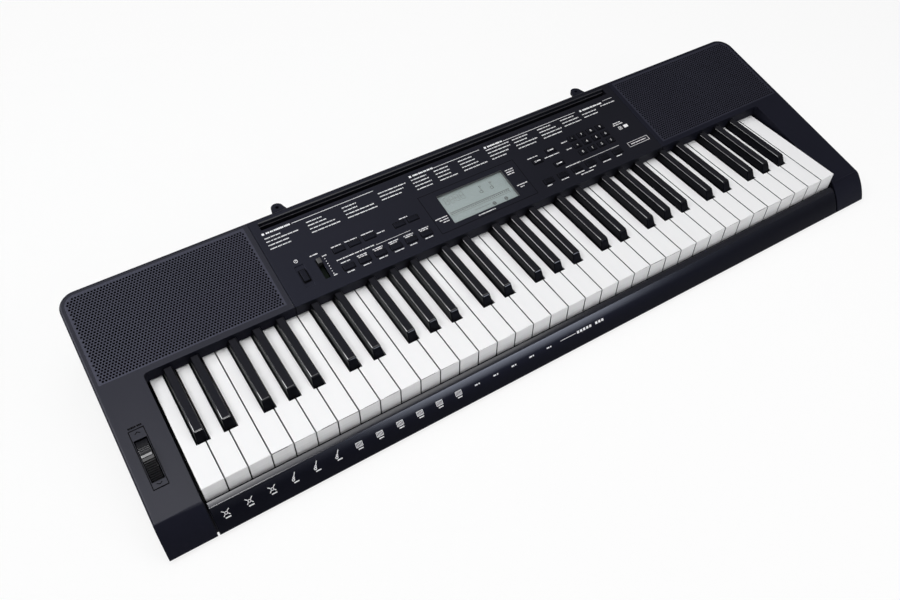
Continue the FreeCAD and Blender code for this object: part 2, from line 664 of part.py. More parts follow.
def battery_contacts():
    """Spring plates at both ends of the bay, one per cell row."""
    x0, x1, _, _ = bay_area(0)
    row = BAY_SIZE[1] / CELL_ROWS
    size = row - 2 * BAY_WALL
    plates = []
    for i in range(CELL_ROWS):
        y = Y_BAY + (i - (CELL_ROWS - 1) / 2) * row
        for x in (x0, x1 - CONTACT_PLATE):
            z = (Z_FLOOR + Z_BAY) / 2
            plates.append(box(x, x + CONTACT_PLATE, y - size / 2, y + size / 2, z - size / 2, z + size / 2))
    return plates


def main_board_corners():
    inset = 2 * POST_RADIUS
    y0, y1 = Y_BOARD - MAIN_BOARD_DEPTH + inset, Y_BOARD - inset
    return [(x, y) for x in (MAIN_BOARD[0] + inset, MAIN_BOARD[1] - inset) for y in (y0, y1)]


def socket_z(body):
    return MAIN_BOARD_TOP + body[2] / 2


def wall_rod(radius, x, y0, y1, z):
    return Part.makeCylinder(radius, y1 - y0, V(x, y0, z), Y_AXIS)


def socket_body(x, body):
    half = body[0] / 2
    return box(x - half, x + half, Y_BOARD - body[1], Y_BOARD, MAIN_BOARD_TOP, MAIN_BOARD_TOP + body[2])


def audio_jacks():
    """Phones and pedal jacks for a 6.35 mm plug."""
    jacks = []
    z = socket_z(JACK_BODY)
    for x in JACK_X:
        jack = socket_body(x, JACK_BODY).fuse(wall_rod(JACK_NOSE, x, Y_BOARD, Y_REAR, z))
        jacks.append(jack.cut(wall_rod(JACK_BORE, x, Y_REAR - JACK_DEPTH, Y_REAR, z)))
    return jacks


def dc_jack():
    """Round power inlet with its centre pin."""
    z = socket_z(DC_BODY)
    jack = socket_body(DC_X, DC_BODY).fuse(wall_rod(DC_NOSE, DC_X, Y_BOARD, Y_REAR, z))
    jack = jack.cut(wall_rod(DC_BORE, DC_X, Y_REAR - DC_DEPTH, Y_REAR, z))
    return jack.fuse(wall_rod(DC_PIN, DC_X, Y_REAR - DC_DEPTH, Y_REAR - WALL, z))


def usb_cavity(grow):
    z = socket_z(USB_BODY)
    half_x, half_z = USB_CAVITY[0] / 2 + grow, USB_CAVITY[2] / 2 + grow
    return box(USB_X - half_x, USB_X + half_x, Y_REAR - USB_CAVITY[1], Y_REAR + WALL, z - half_z, z + half_z)


def usb_socket():
    """Square data socket whose shell comes through the rear wall."""
    z = socket_z(USB_BODY)
    half_x, half_z = USB_BODY[0] / 2, USB_BODY[2] / 2
    shell = box(USB_X - half_x, USB_X + half_x, Y_BOARD, Y_REAR, z - half_z, z + half_z)
    return socket_body(USB_X, USB_BODY).fuse(shell).cut(usb_cavity(0)).removeSplitter()


def socket_cuts():
    """Holes in the rear wall for the sockets."""
    y0, y1 = Y_REAR - 2 * WALL, Y_REAR + WALL
    cuts = [wall_rod(JACK_NOSE + GRILLE_GAP, x, y0, y1, socket_z(JACK_BODY)) for x in JACK_X]
    cuts.append(wall_rod(DC_NOSE + GRILLE_GAP, DC_X, y0, y1, socket_z(DC_BODY)))
    half_x, half_z = USB_BODY[0] / 2 + GRILLE_GAP, USB_BODY[2] / 2 + GRILLE_GAP
    z = socket_z(USB_BODY)
    cuts.append(box(USB_X - half_x, USB_X + half_x, y0, y1, z - half_z, z + half_z))
    return cuts


def lower_case(shell, upper_space):
    """Floor, low walls, battery bay, stand-offs and the holes for sockets, screws and feet."""
    lower = shell.cut(upper_space)
    standoffs = [rod(POST_RADIUS, x, y, Z_FLOOR - WALL / 2, MAIN_BOARD_Z) for x, y in main_board_corners()]
    lower = joined([lower] + battery_bay() + standoffs)
    cuts = battery_cuts() + socket_cuts()
    for x, y in screw_places():
        cuts.append(rod(SCREW_RADIUS + FIT, x, y, 0, Z_FLOOR))
        cuts.append(rod(SCREW_HEAD_RADIUS + FIT, x, y, 0, Z_UNDER + WALL / 2))
    cuts += [rod(FOOT_PEG + FIT, x, y, 0, Z_FLOOR) for x, y in foot_places()]
    groove = OPEN_HALF - RAIL_GAP
    for x0, x1 in ((-OPEN_HALF, -groove), (groove, OPEN_HALF)):
        cuts.append(box(x0, x1, Y_FRONT - WALL, Y_FRONT + 2 * WALL, 0, Z_FLOOR))
    return lower.cut(cuts)


def main_board():
    x0, x1 = MAIN_BOARD
    return box(x0, x1, Y_BOARD - MAIN_BOARD_DEPTH, Y_BOARD, MAIN_BOARD_Z, MAIN_BOARD_TOP)


def panel_board():
    """Board under the panel with a switch below each button and the slide control."""
    left, right, front, rear = board_area()
    pieces = [box(left, right, front, rear, PANEL_BOARD_TOP - BOARD_THICK, PANEL_BOARD_TOP)]
    for places, _ in button_sets().values():
        pieces += [rod(SWITCH_RADIUS, u, v, PANEL_BOARD_TOP, SWITCH_TOP) for u, v in places]
    control = (SLOT_SIZE[0], SLOT_SIZE[1] + SLIDER_SIZE[1])
    pieces.append(block(SLIDER_X, SLOT_V, control, PANEL_BOARD_TOP, slider_seat()))
    return on_panel(joined(pieces))


def slider_seat():
    """Top of the slide control, out of the panel face."""
    return PANEL_BOARD_TOP / 2


def slider_travel():
    return SLOT_SIZE[1] - SLIDER_SIZE[1] - 2 * RUN


def volume_knob():
    """Slider cap in its slot, near the loud end, on a stem from the slide control."""
    v = SLOT_V + slider_travel() / 2
    cap = block(SLIDER_X, v, SLIDER_SIZE, -WALL, SLIDER_RISE)
    top = [e for e in cap.Edges if all(abs(p.Point.z - SLIDER_RISE) < 1e-4 for p in e.Vertexes)]
    cap = cap.makeFillet(BUTTON_RISE / 2, top)
    return on_panel(cap.fuse(block(SLIDER_X, v, SLIDER_STEM, slider_seat() + RUN, -WALL)))


def lcd_border(grow):
    return LCD_SIZE[0] + 2 * (LCD_BORDER + grow), LCD_SIZE[1] + 2 * (LCD_BORDER + grow)


def lcd_window():
    """Clear plate under the panel's cut-out."""
    return on_panel(block(0, LCD_V, lcd_border(0), -WALL - WINDOW_THICK, -WALL))


def lcd_module():
    top = -WALL - WINDOW_THICK
    return on_panel(block(0, LCD_V, lcd_border(-1), top - LCD_THICK, top))


def pitch_wheel():
    """Half drum with a ribbed front and an axle stub on each side."""
    z = -WHEEL_DEPTH
    half = WHEEL_WIDTH / 2
    drum = cross_rod(WHEEL_RADIUS, WHEEL_U - half, WHEEL_U + half, WHEEL_V, z)
    reach = 2 * WHEEL_RADIUS
    drum = drum.cut(box(WHEEL_U - reach, WHEEL_U + reach, WHEEL_V - reach, WHEEL_V + reach, z - reach, z))
    step = math.radians(60) / WHEEL_RIBS
    grooves = []
    for i in range(WHEEL_RIBS):
        turn = math.radians(8) + i * step
        y, up = WHEEL_V - WHEEL_RADIUS * math.sin(turn), z + WHEEL_RADIUS * math.cos(turn)
        grooves.append(cross_rod(WHEEL_GROOVE, WHEEL_U - half, WHEEL_U + half, y, up))
    ear = half + WALL
    hub = cross_rod(2 * WHEEL_AXLE, WHEEL_U - half, WHEEL_U + half, WHEEL_V, z)
    axle = cross_rod(WHEEL_AXLE, WHEEL_U - ear - RUN, WHEEL_U + ear + RUN, WHEEL_V, z)
    return on_panel(joined([drum.cut(grooves), hub, axle]))


def pitch_wheel_holder():
    """Two ears under the cover with the bearings of the pitch wheel."""
    z = -WHEEL_DEPTH
    inner = WHEEL_WIDTH / 2 + RUN + WALL / 5
    ears = []
    for side in (-1, 1):
        x0, x1 = sorted((WHEEL_U + side * inner, WHEEL_U + side * (inner + WALL)))
        low = z - 2 * WHEEL_AXLE
        ear = box(x0, x1, WHEEL_V - 3 * WHEEL_AXLE, WHEEL_V + 3 * WHEEL_AXLE, low, -WALL)
        ears.append(on_panel(ear.cut(cross_rod(WHEEL_AXLE + PIVOT_CLEARANCE, x0, x1, WHEEL_V, z))))
    return ears


def rear_lugs():
    """Flat eyelets on the rear wall."""
    lugs = []
    z = LUG_TOP - LUG_THICK
    y = Y_REAR + LUG_REACH - LUG_TIP
    for x in (LUG_INSET - SEAM_X, SEAM_X - LUG_INSET):
        web = prism([V(x - LUG_BASE / 2, Y_REAR, z), V(x + LUG_BASE / 2, Y_REAR, z), V(x + LUG_TIP, y, z),
                     V(x - LUG_TIP, y, z)], V(0, 0, LUG_THICK))
        eye = web.fuse(rod(LUG_TIP, x, y, z, LUG_TOP)).removeSplitter()
        lugs.append(eye.cut(rod(LUG_HOLE, x, y, z, LUG_TOP)))
    return lugs


def octave_x(octave):
    return octave * 7 * KEY_PITCH - KEY_FIELD / 2


def slot(octave, note):
    """Left and right limits of a key's share of the row between the black keys."""
    left = octave_x(octave)
    if octave == OCTAVES:
        return left, left + KEY_PITCH
    if note < 5:
        width = 3 * KEY_PITCH / 5
        return left + note * width, left + (note + 1) * width
    width = 4 * KEY_PITCH / 7
    start = left + 3 * KEY_PITCH
    return start + (note - 5) * width, start + (note - 4) * width


def key_tail(octave, note, front):
    """Hidden tail with its pivot bore, from the key's body to behind the pivot."""
    x = sum(slot(octave, note)) / 2
    bar = box(x - TAIL_WIDTH / 2, x + TAIL_WIDTH / 2, front, Y_PIVOT + TAIL_BACK, TAIL_UNDER, TAIL_TOP)
    bore = cross_rod(PIVOT_RADIUS + PIVOT_CLEARANCE, x - TAIL_WIDTH, x + TAIL_WIDTH, Y_PIVOT, Z_PIVOT)
    return bar.cut(bore)


def key_plunger(octave, note):
    x = sum(slot(octave, note)) / 2
    half = PLUNGER / 2
    return box(x - half, x + half, Y_CONTACT - half, Y_CONTACT + half, PLUNGER_Z, KEY_TOP - KEY_SKIN)


def white_neck(octave, note):
    """Left and right limits of a white key between the black keys."""
    x0, x1 = slot(octave, note)
    left = octave_x(octave) + WHITES.index(note) * KEY_PITCH + KEY_GAP / 2
    right = left + KEY_PITCH - KEY_GAP
    if octave == OCTAVES:
        return left, right, left, right
    neck_left = x0 if note - 1 in BLACKS else left
    neck_right = x1 if note + 1 in BLACKS else right
    return left, right, neck_left, neck_right


def white_key(octave, note):
    """Hollow white key: wide head with a deep lip, neck between the black keys, plunger and tail."""
    left, right, neck_left, neck_right = white_neck(octave, note)
    rear = Y_OPEN + WALL
    plan = ((left, Y_KEY), (right, Y_KEY), (right, Y_SHOULDER), (neck_right, Y_SHOULDER), (neck_right, rear),
            (neck_left, rear), (neck_left, Y_SHOULDER), (left, Y_SHOULDER))
    outline = [V(x, y, KEY_UNDER) for x, y in plan]
    outline = [p for i, p in enumerate(outline) if (p - outline[i - 1]).Length > 1e-6]
    skin = KEY_SKIN
    body = prism(outline, V(0, 0, KEY_SKIRT))
    lip = box(left, right, Y_KEY, Y_KEY + skin, KEY_TOP - LIP_HEIGHT, KEY_TOP - skin)
    body = body.fuse(lip).removeSplitter()
    front = [e for e in body.Edges if all(p.Point.y < Y_KEY + 1e-4 for p in e.Vertexes)]
    upper = [e for e in front if all(p.Point.z > KEY_TOP - LIP_HEIGHT + 1e-4 for p in e.Vertexes)]
    body = body.makeFillet(KEY_EDGE, upper)
    ceiling = KEY_TOP - skin
    head = box(left + skin, right - skin, Y_KEY + skin, Y_SHOULDER - skin, KEY_UNDER, ceiling)
    neck = box(neck_left + skin, neck_right - skin, Y_SHOULDER - 2 * skin, rear - skin, KEY_UNDER, ceiling)
    return joined([body.cut([head, neck]), key_plunger(octave, note), key_tail(octave, note, rear - skin)])


def black_profile(x, rear, summit):
    """Side view of a black key's top, drawn out over the width: sloped nose, rounded crown, level top."""
    turn = math.atan2(BLACK_RISE, BLACK_NOSE)
    reach = BLACK_CROWN * math.tan(turn / 2)
    bend = Y_BLACK + BLACK_NOSE
    low = V(x, bend - reach * math.cos(turn), summit - reach * math.sin(turn))
    high = V(x, bend + reach, summit)
    middle = high + V(0, -BLACK_CROWN * math.sin(turn / 2), BLACK_CROWN * (math.cos(turn / 2) - 1))
    foot, back = V(x, Y_BLACK, KEY_TOP), V(x, rear, KEY_TOP)
    top = V(x, rear, summit)
    sides = [Part.makeLine(foot, low), Part.Arc(low, middle, high).toShape(), Part.makeLine(high, top),
             Part.makeLine(top, back), Part.makeLine(back, foot)]
    return Part.Face(Part.Wire(sides)).extrude(V(BLACK_BASE, 0, 0))


def black_key(octave, note):
    """Black key: tapered top with a sloped nose on an upright base, hollow below."""
    x = sum(slot(octave, note)) / 2
    base, crest = BLACK_BASE / 2, BLACK_TOP / 2
    rear = Y_OPEN - RUN - KEY_GAP
    summit = KEY_TOP + BLACK_RISE
    taper = prism([V(x - base, Y_BLACK, KEY_TOP), V(x + base, Y_BLACK, KEY_TOP),
                   V(x + crest, Y_BLACK, summit), V(x - crest, Y_BLACK, summit)], V(0, rear - Y_BLACK, 0))
    upper = black_profile(x - base, rear, summit).common(taper)
    shoulders = []
    for edge in upper.Edges:
        ends = [v.Point for v in edge.Vertexes]
        along = abs(ends[0].y - ends[1].y) > 1e-4
        if along and any(p.z > KEY_TOP + 1e-4 for p in ends):
            shoulders.append(edge)
    upper = upper.makeFillet(BLACK_EDGE, shoulders)
    lower = box(x - base, x + base, Y_BLACK, rear, KEY_UNDER, KEY_TOP)
    skin = KEY_SKIN
    hollow = box(x - crest + skin, x + crest - skin, Y_BLACK + BLACK_NOSE + skin, rear - skin, KEY_UNDER,
                 summit - skin)
    body = joined([upper, lower]).cut(hollow)
    return joined([body, key_plunger(octave, note), key_tail(octave, note, rear - skin)])


def key_sets():
    """Names of the key pieces, each with the keys that it holds."""
    sets = {}
    for octave in range(OCTAVES):
        if octave == SINGLE_OCTAVE:
            for note, name in enumerate(NOTE_NAMES):
                sets["middle_key_" + name] = [(octave, note)]
            continue
        name = "octave_%d_" % (octave + 1)
        sets[name + "keys_cegb"] = [(octave, note) for note in (0, 4, 7, 11)]
        sets[name + "keys_dfa"] = [(octave, note) for note in (2, 5, 9)]
        sets[name + "black_keys"] = [(octave, note) for note in BLACKS]
    sets["top_key_c"] = [(OCTAVES, 0)]
    return sets


def all_keys():
    return [key for keys in key_sets().values() for key in keys]


def make_key(octave, note):
    return black_key(octave, note) if note in BLACKS else white_key(octave, note)


def pressed_z(y, turn):
    """Height of a key's lower edge at y when the key is down."""
    return Z_PIVOT - (Y_PIVOT - y) * math.sin(turn) - (Z_PIVOT - KEY_UNDER) * math.cos(turn)


def felt_strips():
    """Front edge, top and length limits of the white, black and rear stop felts."""
    white_y = Y_KEY + WHITE_FELT
    black_y = Y_BLACK + BLACK_FELT
    rear_y = Y_PIVOT + TAIL_BACK - FELT_WIDTH
    return [(white_y, pressed_z(white_y, WHITE_TURN) - RUN), (black_y, pressed_z(black_y, BLACK_TURN) - RUN),
            (rear_y, TAIL_UNDER - RUN)]


def key_stop_felts():
    half = KEY_FIELD / 2
    return [box(-half, half, y, y + FELT_WIDTH, top - FELT, top) for y, top in felt_strips()]


def pillar_places():
    """Places between two white keys where the rod is carried."""
    whites = [octave_x(octave) + shift * KEY_PITCH for octave in range(OCTAVES) for shift in (0, 3)]
    return whites + [octave_x(OCTAVES), octave_x(OCTAVES) + KEY_PITCH]


def key_guide(octave, note):
    """Blade inside the hollow of a key that keeps it straight."""
    if note in BLACKS:
        x = sum(slot(octave, note)) / 2
        width = BLACK_TOP
        y = Y_BLACK + BLACK_FELT + 2 * FELT_WIDTH
    else:
        left, right, _, _ = white_neck(octave, note)
        x = (left + right) / 2
        width = right - left
        y = Y_KEY + WHITE_FELT + 2 * FELT_WIDTH
    return block(x, y, (width - 2 * KEY_SKIN - 2 * RUN, GUIDE_DEPTH), CHASSIS_TOP, KEY_UNDER + GUIDE_ENTRY)


def key_chassis():
    """Tray under the keys with felt ribs, guides, rod pillars and legs to the floor."""
    half = KEY_FIELD / 2 + PILLAR / 2
    front, rear = Y_KEY + CHASSIS_FRONT, Y_PIVOT + TAIL_BACK
    pieces = [box(-half, half, front, rear, CHASSIS_TOP - CHASSIS_THICK, CHASSIS_TOP)]
    pieces += [box(-half, half, y, y + FELT_WIDTH, CHASSIS_TOP, top - FELT) for y, top in felt_strips()]
    for x in pillar_places():
        reach = TAIL_BACK - FELT_WIDTH
        half_x = PILLAR / 2
        pillar = box(x - half_x, x + half_x, Y_PIVOT - reach, Y_PIVOT + reach, CHASSIS_TOP, Z_PIVOT + reach)
        pieces.append(pillar.cut(cross_rod(PIVOT_RADIUS + FIT, x - PILLAR, x + PILLAR, Y_PIVOT, Z_PIVOT)))
    pieces += [key_guide(octave, note) for octave, note in all_keys()]
    for i in range(LEG_COUNT):
        x = (half - PILLAR) * (2 * i / (LEG_COUNT - 1) - 1)
        pieces.append(box(x - PILLAR, x + PILLAR, front, rear, Z_FLOOR, CHASSIS_TOP - CHASSIS_THICK))
    return joined(pieces)


def key_pivot_rod():
    half = KEY_FIELD / 2 + PILLAR / 2
    return cross_rod(PIVOT_RADIUS, -half, half, Y_PIVOT, Z_PIVOT)


def key_contact_board():
    half = KEY_FIELD / 2
    reach = 4 * CONTACT_RADIUS
    return box(-half, half, Y_CONTACT - reach, Y_CONTACT + reach, CHASSIS_TOP, BOARD_TOP)


def rubber_contacts():
    """A strip of rubber domes for each octave, and one dome for the top key."""
    web_top = BOARD_TOP + 1.0
    wide = CONTACT_RADIUS + 1.0
    strips = []
    for octave in range(OCTAVES + 1):
        notes = range(12) if octave < OCTAVES else range(1)
        x0, x1 = slot(octave, notes[0])[0] + KEY_GAP, slot(octave, notes[-1])[1] - KEY_GAP
        pieces = [box(x0, x1, Y_CONTACT - wide, Y_CONTACT + wide, BOARD_TOP, web_top)]
        for note in notes:
            x = sum(slot(octave, note)) / 2
            height = PLUNGER_Z - RUN - web_top
            pieces.append(Part.makeCone(CONTACT_RADIUS, PLUNGER / 2, height, V(x, Y_CONTACT, web_top)))
        strips.append(joined(pieces))
    return strips


def save(name, pieces):
    """Write one node: a single solid, or a group of separate solids."""
    shape = Part.makeCompound(pieces) if isinstance(pieces, list) else pieces
    solids = shape.Solids
    state = "ok" if shape.isValid() else "INVALID"
    print(name, len(solids), "solids", round(shape.Volume / 1000, 1), "cm3", state)
    solid = solids[0] if len(solids) == 1 else Part.makeCompound(solids)
    solid.exportStep(os.path.join("parts", name + ".step"))


def build():
    os.makedirs("parts", exist_ok=True)
    outer = case_block(0)
    outer = outer.makeFillet(EDGE_RADIUS, rim_edges(outer))
    shell = outer.cut(case_block(WALL))
    upper_space = parting_space()
    core = post_space(upper_space)
    collar = key_collar(outer, upper_space)
    top_shell = shell.common(upper_space).fuse(collar).cut(opening_space(0)).removeSplitter()
    sides = (-1, 1)
    save("lower_case", lower_case(shell, upper_space))
    save("left_end_cover", end_cover(-1, top_shell, core))
    save("right_end_cover", end_cover(1, top_shell, core))
    save("control_panel", control_panel(top_shell, core))
    save("front_rail", front_rail(outer, core))
    save("speaker_grilles", [speaker_grille(side) for side in sides])
    save("speaker_frames", [speaker_frame(side) for side in sides])
    save("speaker_cones", [speaker_cone(side) for side in sides])
    save("speaker_magnets", [speaker_magnet(side) for side in sides])
    save("key_chassis", key_chassis())
    save("key_pivot_rod", key_pivot_rod())
    save("key_contact_board", key_contact_board())
    save("rubber_contacts", rubber_contacts())
    save("key_stop_felts", key_stop_felts())
    save("main_board", main_board())
    save("panel_board", panel_board())
    save("lcd_module", lcd_module())
    save("lcd_window", lcd_window())
    save("audio_jacks", audio_jacks())
    save("dc_jack", dc_jack())
    save("usb_socket", usb_socket())
    save("battery_contacts", battery_contacts())
    save("battery_door", battery_door(outer))
    save("rubber_feet", rubber_feet())
    save("case_screws", case_screws())
    save("rear_lugs", rear_lugs())
    save("pitch_wheel_holder", pitch_wheel_holder())
    save("pitch_wheel", pitch_wheel())
    save("volume_knob", volume_knob())
    for name, (places, size) in button_sets().items():
        save(name, [button(u, v, size) for u, v in places])
    for name, keys in key_sets().items():
        save(name, [make_key(octave, note) for octave, note in keys])


build()
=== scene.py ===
import bmesh
import bpy
import json
import math
import random
from mathutils import Matrix, Vector

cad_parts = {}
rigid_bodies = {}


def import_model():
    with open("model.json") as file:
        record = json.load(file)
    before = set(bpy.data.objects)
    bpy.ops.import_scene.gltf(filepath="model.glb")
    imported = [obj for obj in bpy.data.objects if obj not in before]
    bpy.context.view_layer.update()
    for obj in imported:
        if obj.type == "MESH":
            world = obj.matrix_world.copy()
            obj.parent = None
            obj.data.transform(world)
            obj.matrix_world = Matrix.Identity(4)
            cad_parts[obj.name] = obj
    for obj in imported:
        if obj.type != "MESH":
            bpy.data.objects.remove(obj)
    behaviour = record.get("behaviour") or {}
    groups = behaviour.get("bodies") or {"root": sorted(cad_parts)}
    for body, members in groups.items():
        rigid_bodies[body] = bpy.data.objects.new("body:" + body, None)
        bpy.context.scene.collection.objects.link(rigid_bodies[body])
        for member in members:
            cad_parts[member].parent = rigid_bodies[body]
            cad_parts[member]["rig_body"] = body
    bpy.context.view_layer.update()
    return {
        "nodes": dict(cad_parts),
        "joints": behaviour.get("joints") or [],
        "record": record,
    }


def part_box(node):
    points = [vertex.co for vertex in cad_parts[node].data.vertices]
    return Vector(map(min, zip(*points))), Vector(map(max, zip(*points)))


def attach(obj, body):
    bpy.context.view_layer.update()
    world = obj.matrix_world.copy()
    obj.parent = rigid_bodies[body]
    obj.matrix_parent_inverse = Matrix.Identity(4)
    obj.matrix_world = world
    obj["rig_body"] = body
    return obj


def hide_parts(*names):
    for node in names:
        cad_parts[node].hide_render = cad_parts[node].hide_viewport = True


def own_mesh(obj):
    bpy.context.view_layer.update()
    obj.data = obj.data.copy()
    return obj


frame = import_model()

# Lower case
# One black moulding with the floor, the low side walls, the rear wall and the battery bay.
# The upper mouldings sit on its slanted edge and are screwed down to it from below.


class Wire:
    """A socket in a material's node tree. Arithmetic on it adds Math nodes."""

    def __init__(self, tree, socket=None):
        self.tree = tree
        self.socket = socket

    def node(self, kind, settings=None, inputs=None, output=0):
        """Adds a node of any kind: settings first, then the values or links of its sockets."""
        made = self.tree.nodes.new(kind)
        for name, value in (settings or {}).items():
            setattr(made, name, value)
        for key, value in (inputs or {}).items():
            if isinstance(value, Wire):
                self.tree.links.new(value.socket, made.inputs[key])
            else:
                made.inputs[key].default_value = value
        return Wire(self.tree, made.outputs[output])

    def maths(self, operation, first, second):
        return self.node("ShaderNodeMath", {"operation": operation}, {0: first, 1: second})

    def __add__(self, other):
        return self.maths("ADD", self, other)

    def __radd__(self, other):
        return self.maths("ADD", other, self)

    def __sub__(self, other):
        return self.maths("SUBTRACT", self, other)

    def __rsub__(self, other):
        return self.maths("SUBTRACT", other, self)

    def __mul__(self, other):
        return self.maths("MULTIPLY", self, other)

    def __rmul__(self, other):
        return self.maths("MULTIPLY", other, self)

    def axis(self, number):
        """One part of a vector: 0 for X, 1 for Y, 2 for Z."""
        return self.node("ShaderNodeSeparateXYZ", {}, {0: self}, number)

    def noise(self, scale, detail=2.0):
        """Random mottle at these coordinates."""
        return self.node("ShaderNodeTexNoise", {}, {"Vector": self, "Scale": scale, "Detail": detail})

    def bump(self, strength, distance):
        """The normal of a surface that rises and falls with this value."""
        return self.node("ShaderNodeBump", {}, {"Strength": strength, "Distance": distance, "Height": self})

    def ramp(self, low, high):
        """0 below low, 1 above high, straight between."""
        return self.node("ShaderNodeMapRange", {}, {0: self, 1: low, 2: high})

    def tint(self, dark, light):
        """The two colours mixed by this value."""
        return self.node("ShaderNodeMix", {"data_type": "RGBA"}, {0: self, 6: (*dark, 1), 7: (*light, 1)}, 2)


def new_finish(name):
    """An empty material with its shader and the Object coordinates to paint by."""
    material = bpy.data.materials.new(name)
    material.use_nodes = True
    tree = material.node_tree
    wire = Wire(tree)
    place = wire.node("ShaderNodeTexCoord", output="Object")
    return material, tree.nodes["Principled BSDF"], place


def feed(shader, name, wire):
    wire.tree.links.new(wire.socket, shader.inputs[name])


def moulded_plastic(name, dark, light, roughness, specular, shine=(1, 1, 1), texture=0.0006,
                    relief=0.12, top=0.0, satin=0.45):
    """Plastic from a spark-eroded mould: fine pimples, uneven in colour, a sheen on its top faces."""
    material, shader, place = new_finish(name)
    pimples = place.noise(1 / texture)
    cloud = place.noise(9.0, 3.0)
    feed(shader, "Base Color", (0.7 * cloud + 0.3 * pimples).ramp(0.3, 0.7).tint(dark, light))
    feed(shader, "Roughness", roughness + 0.12 * (pimples - 0.5) + 0.08 * (cloud - 0.5))
    shader.inputs["Specular IOR Level"].default_value = specular
    shader.inputs["Specular Tint"].default_value = (*shine, 1)
    feed(shader, "Normal", pimples.bump(relief, texture / 4))
    if top:
        upward = place.node("ShaderNodeTexCoord", output="Normal").axis(2)
        feed(shader, "Coat Weight", top * upward.ramp(0.8, 0.95))
        shader.inputs["Coat Roughness"].default_value = satin
        shader.inputs["Coat Tint"].default_value = (*shine, 1)
    return material


def dress(material, *nodes):
    """Gives a finish to pieces that keep the shape they were built with."""
    for node in nodes:
        frame["nodes"][node].material_slots[0].material = material


def paint(piece, material):
    """Gives a finish to a piece of the scene's own."""
    piece.data.materials.clear()
    piece.data.materials.append(material)
    return piece


def softened(node, width, shortest):
    """A copy of a built piece that stands for it, with its sharp edges rounded off but for the shortest."""
    source = frame["nodes"][node]
    piece = bpy.data.objects.new(node + "_finished", source.data.copy())
    bpy.context.scene.collection.objects.link(piece)
    bpy.ops.object.select_all(action="DESELECT")
    piece.select_set(True)
    bpy.context.view_layer.objects.active = piece
    bpy.ops.object.mode_set(mode="EDIT")
    bpy.ops.mesh.select_all(action="SELECT")
    bpy.ops.mesh.remove_doubles(threshold=SAME_POINT)
    bpy.ops.mesh.dissolve_limited(angle_limit=FLAT_FOLD)
    bpy.ops.mesh.select_all(action="DESELECT")
    bpy.ops.mesh.select_mode(type="EDGE")
    mesh = bmesh.from_edit_mesh(piece.data)
    for edge in mesh.edges:
        folded = edge.is_manifold and edge.calc_face_angle() > SHARP_FOLD
        edge.select_set(folded and edge.calc_length() > shortest)
    bmesh.update_edit_mesh(piece.data)
    bpy.ops.mesh.bevel(offset=width, segments=2, affect="EDGES", clamp_overlap=False)
    mesh = bmesh.from_edit_mesh(piece.data)
    low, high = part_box(node)
    for vertex in mesh.verts:
        vertex.co = [min(max(place, low[axis]), high[axis]) for axis, place in enumerate(vertex.co)]
    bmesh.update_edit_mesh(piece.data)
    bpy.ops.object.mode_set(mode="OBJECT")
    bpy.ops.object.shade_smooth_by_angle(angle=SMOOTH_FOLD)
    evening = piece.modifiers.new("evening", "WEIGHTED_NORMAL")
    evening.keep_sharp = True
    bpy.ops.object.modifier_apply(modifier=evening.name)
    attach(piece, source["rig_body"])
    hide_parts(node)
    return piece


SAME_POINT = 0.000002
FLAT_FOLD = math.radians(0.5)
SHARP_FOLD = math.radians(28)
SMOOTH_FOLD = math.radians(50)
COOL_SHINE = (0.6, 0.64, 1.0)
CASE_ROUNDING = 0.0004
CASE_SHORTEST = 0.001
case_plastic = moulded_plastic("case_plastic", (0.006, 0.0062, 0.0105), (0.0088, 0.0091, 0.0148), 0.5, 0.06,
                               COOL_SHINE, top=0.24, satin=0.3)
paint(softened("lower_case", CASE_ROUNDING, CASE_SHORTEST), case_plastic)
dress(case_plastic, "battery_door")

# Feet and screws
# Six round rubber feet pegged into the floor, and the plated screws that hold the case together.
# The screw heads sit in counterbores, so only their tops show from below.

foot_rubber = moulded_plastic("foot_rubber", (0.012, 0.012, 0.012), (0.022, 0.022, 0.021), 0.85, 0.2,
                              texture=0.0012, relief=0.3)
dress(foot_rubber, "rubber_feet")


def plated_steel(name, dark, light, roughness):
    """Plated pressed steel with faint drawing lines along X."""
    material, shader, place = new_finish(name)
    lined = place.node("ShaderNodeMapping", {}, {"Vector": place, "Scale": (60.0, 2500.0, 2500.0)})
    lines = lined.noise(1.0, 3.0)
    feed(shader, "Base Color", lines.tint(dark, light))
    feed(shader, "Roughness", roughness + 0.2 * (lines - 0.5))
    shader.inputs["Metallic"].default_value = 1.0
    return material


steel = plated_steel("plated_steel", (0.42, 0.42, 0.43), (0.62, 0.62, 0.63), 0.32)
dress(steel, "case_screws", "key_pivot_rod", "usb_socket", "battery_contacts")

# Boards and sockets
# Dark green glass-fibre boards under the keys, behind the panel and at the rear, and black sockets.
# The sockets are soldered to the main board and look out through the rear wall.


def circuit_board(name, mask, copper):
    """Solder mask over copper tracks: square cells of track and bare ground."""
    material, shader, place = new_finish(name)
    cells = place.node("ShaderNodeTexBrick", {}, {"Vector": place, "Scale": 160.0, "Mortar Size": 0.06})
    tracks = place.node("ShaderNodeTexVoronoi", {"distance": "MANHATTAN"}, {"Vector": place, "Scale": 220.0})
    feed(shader, "Base Color", (0.6 * tracks + 0.4 * cells).ramp(0.2, 0.8).tint(mask, copper))
    feed(shader, "Roughness", 0.45 + 0.2 * tracks)
    shader.inputs["Specular IOR Level"].default_value = 0.06
    return material


board_finish = circuit_board("solder_mask", (0.002, 0.004, 0.003), (0.004, 0.008, 0.005))
dress(board_finish, "main_board", "panel_board", "key_contact_board")
socket_plastic = moulded_plastic("socket_plastic", (0.010, 0.010, 0.010), (0.02, 0.02, 0.02), 0.45, 0.35)
dress(socket_plastic, "audio_jacks", "dc_jack")

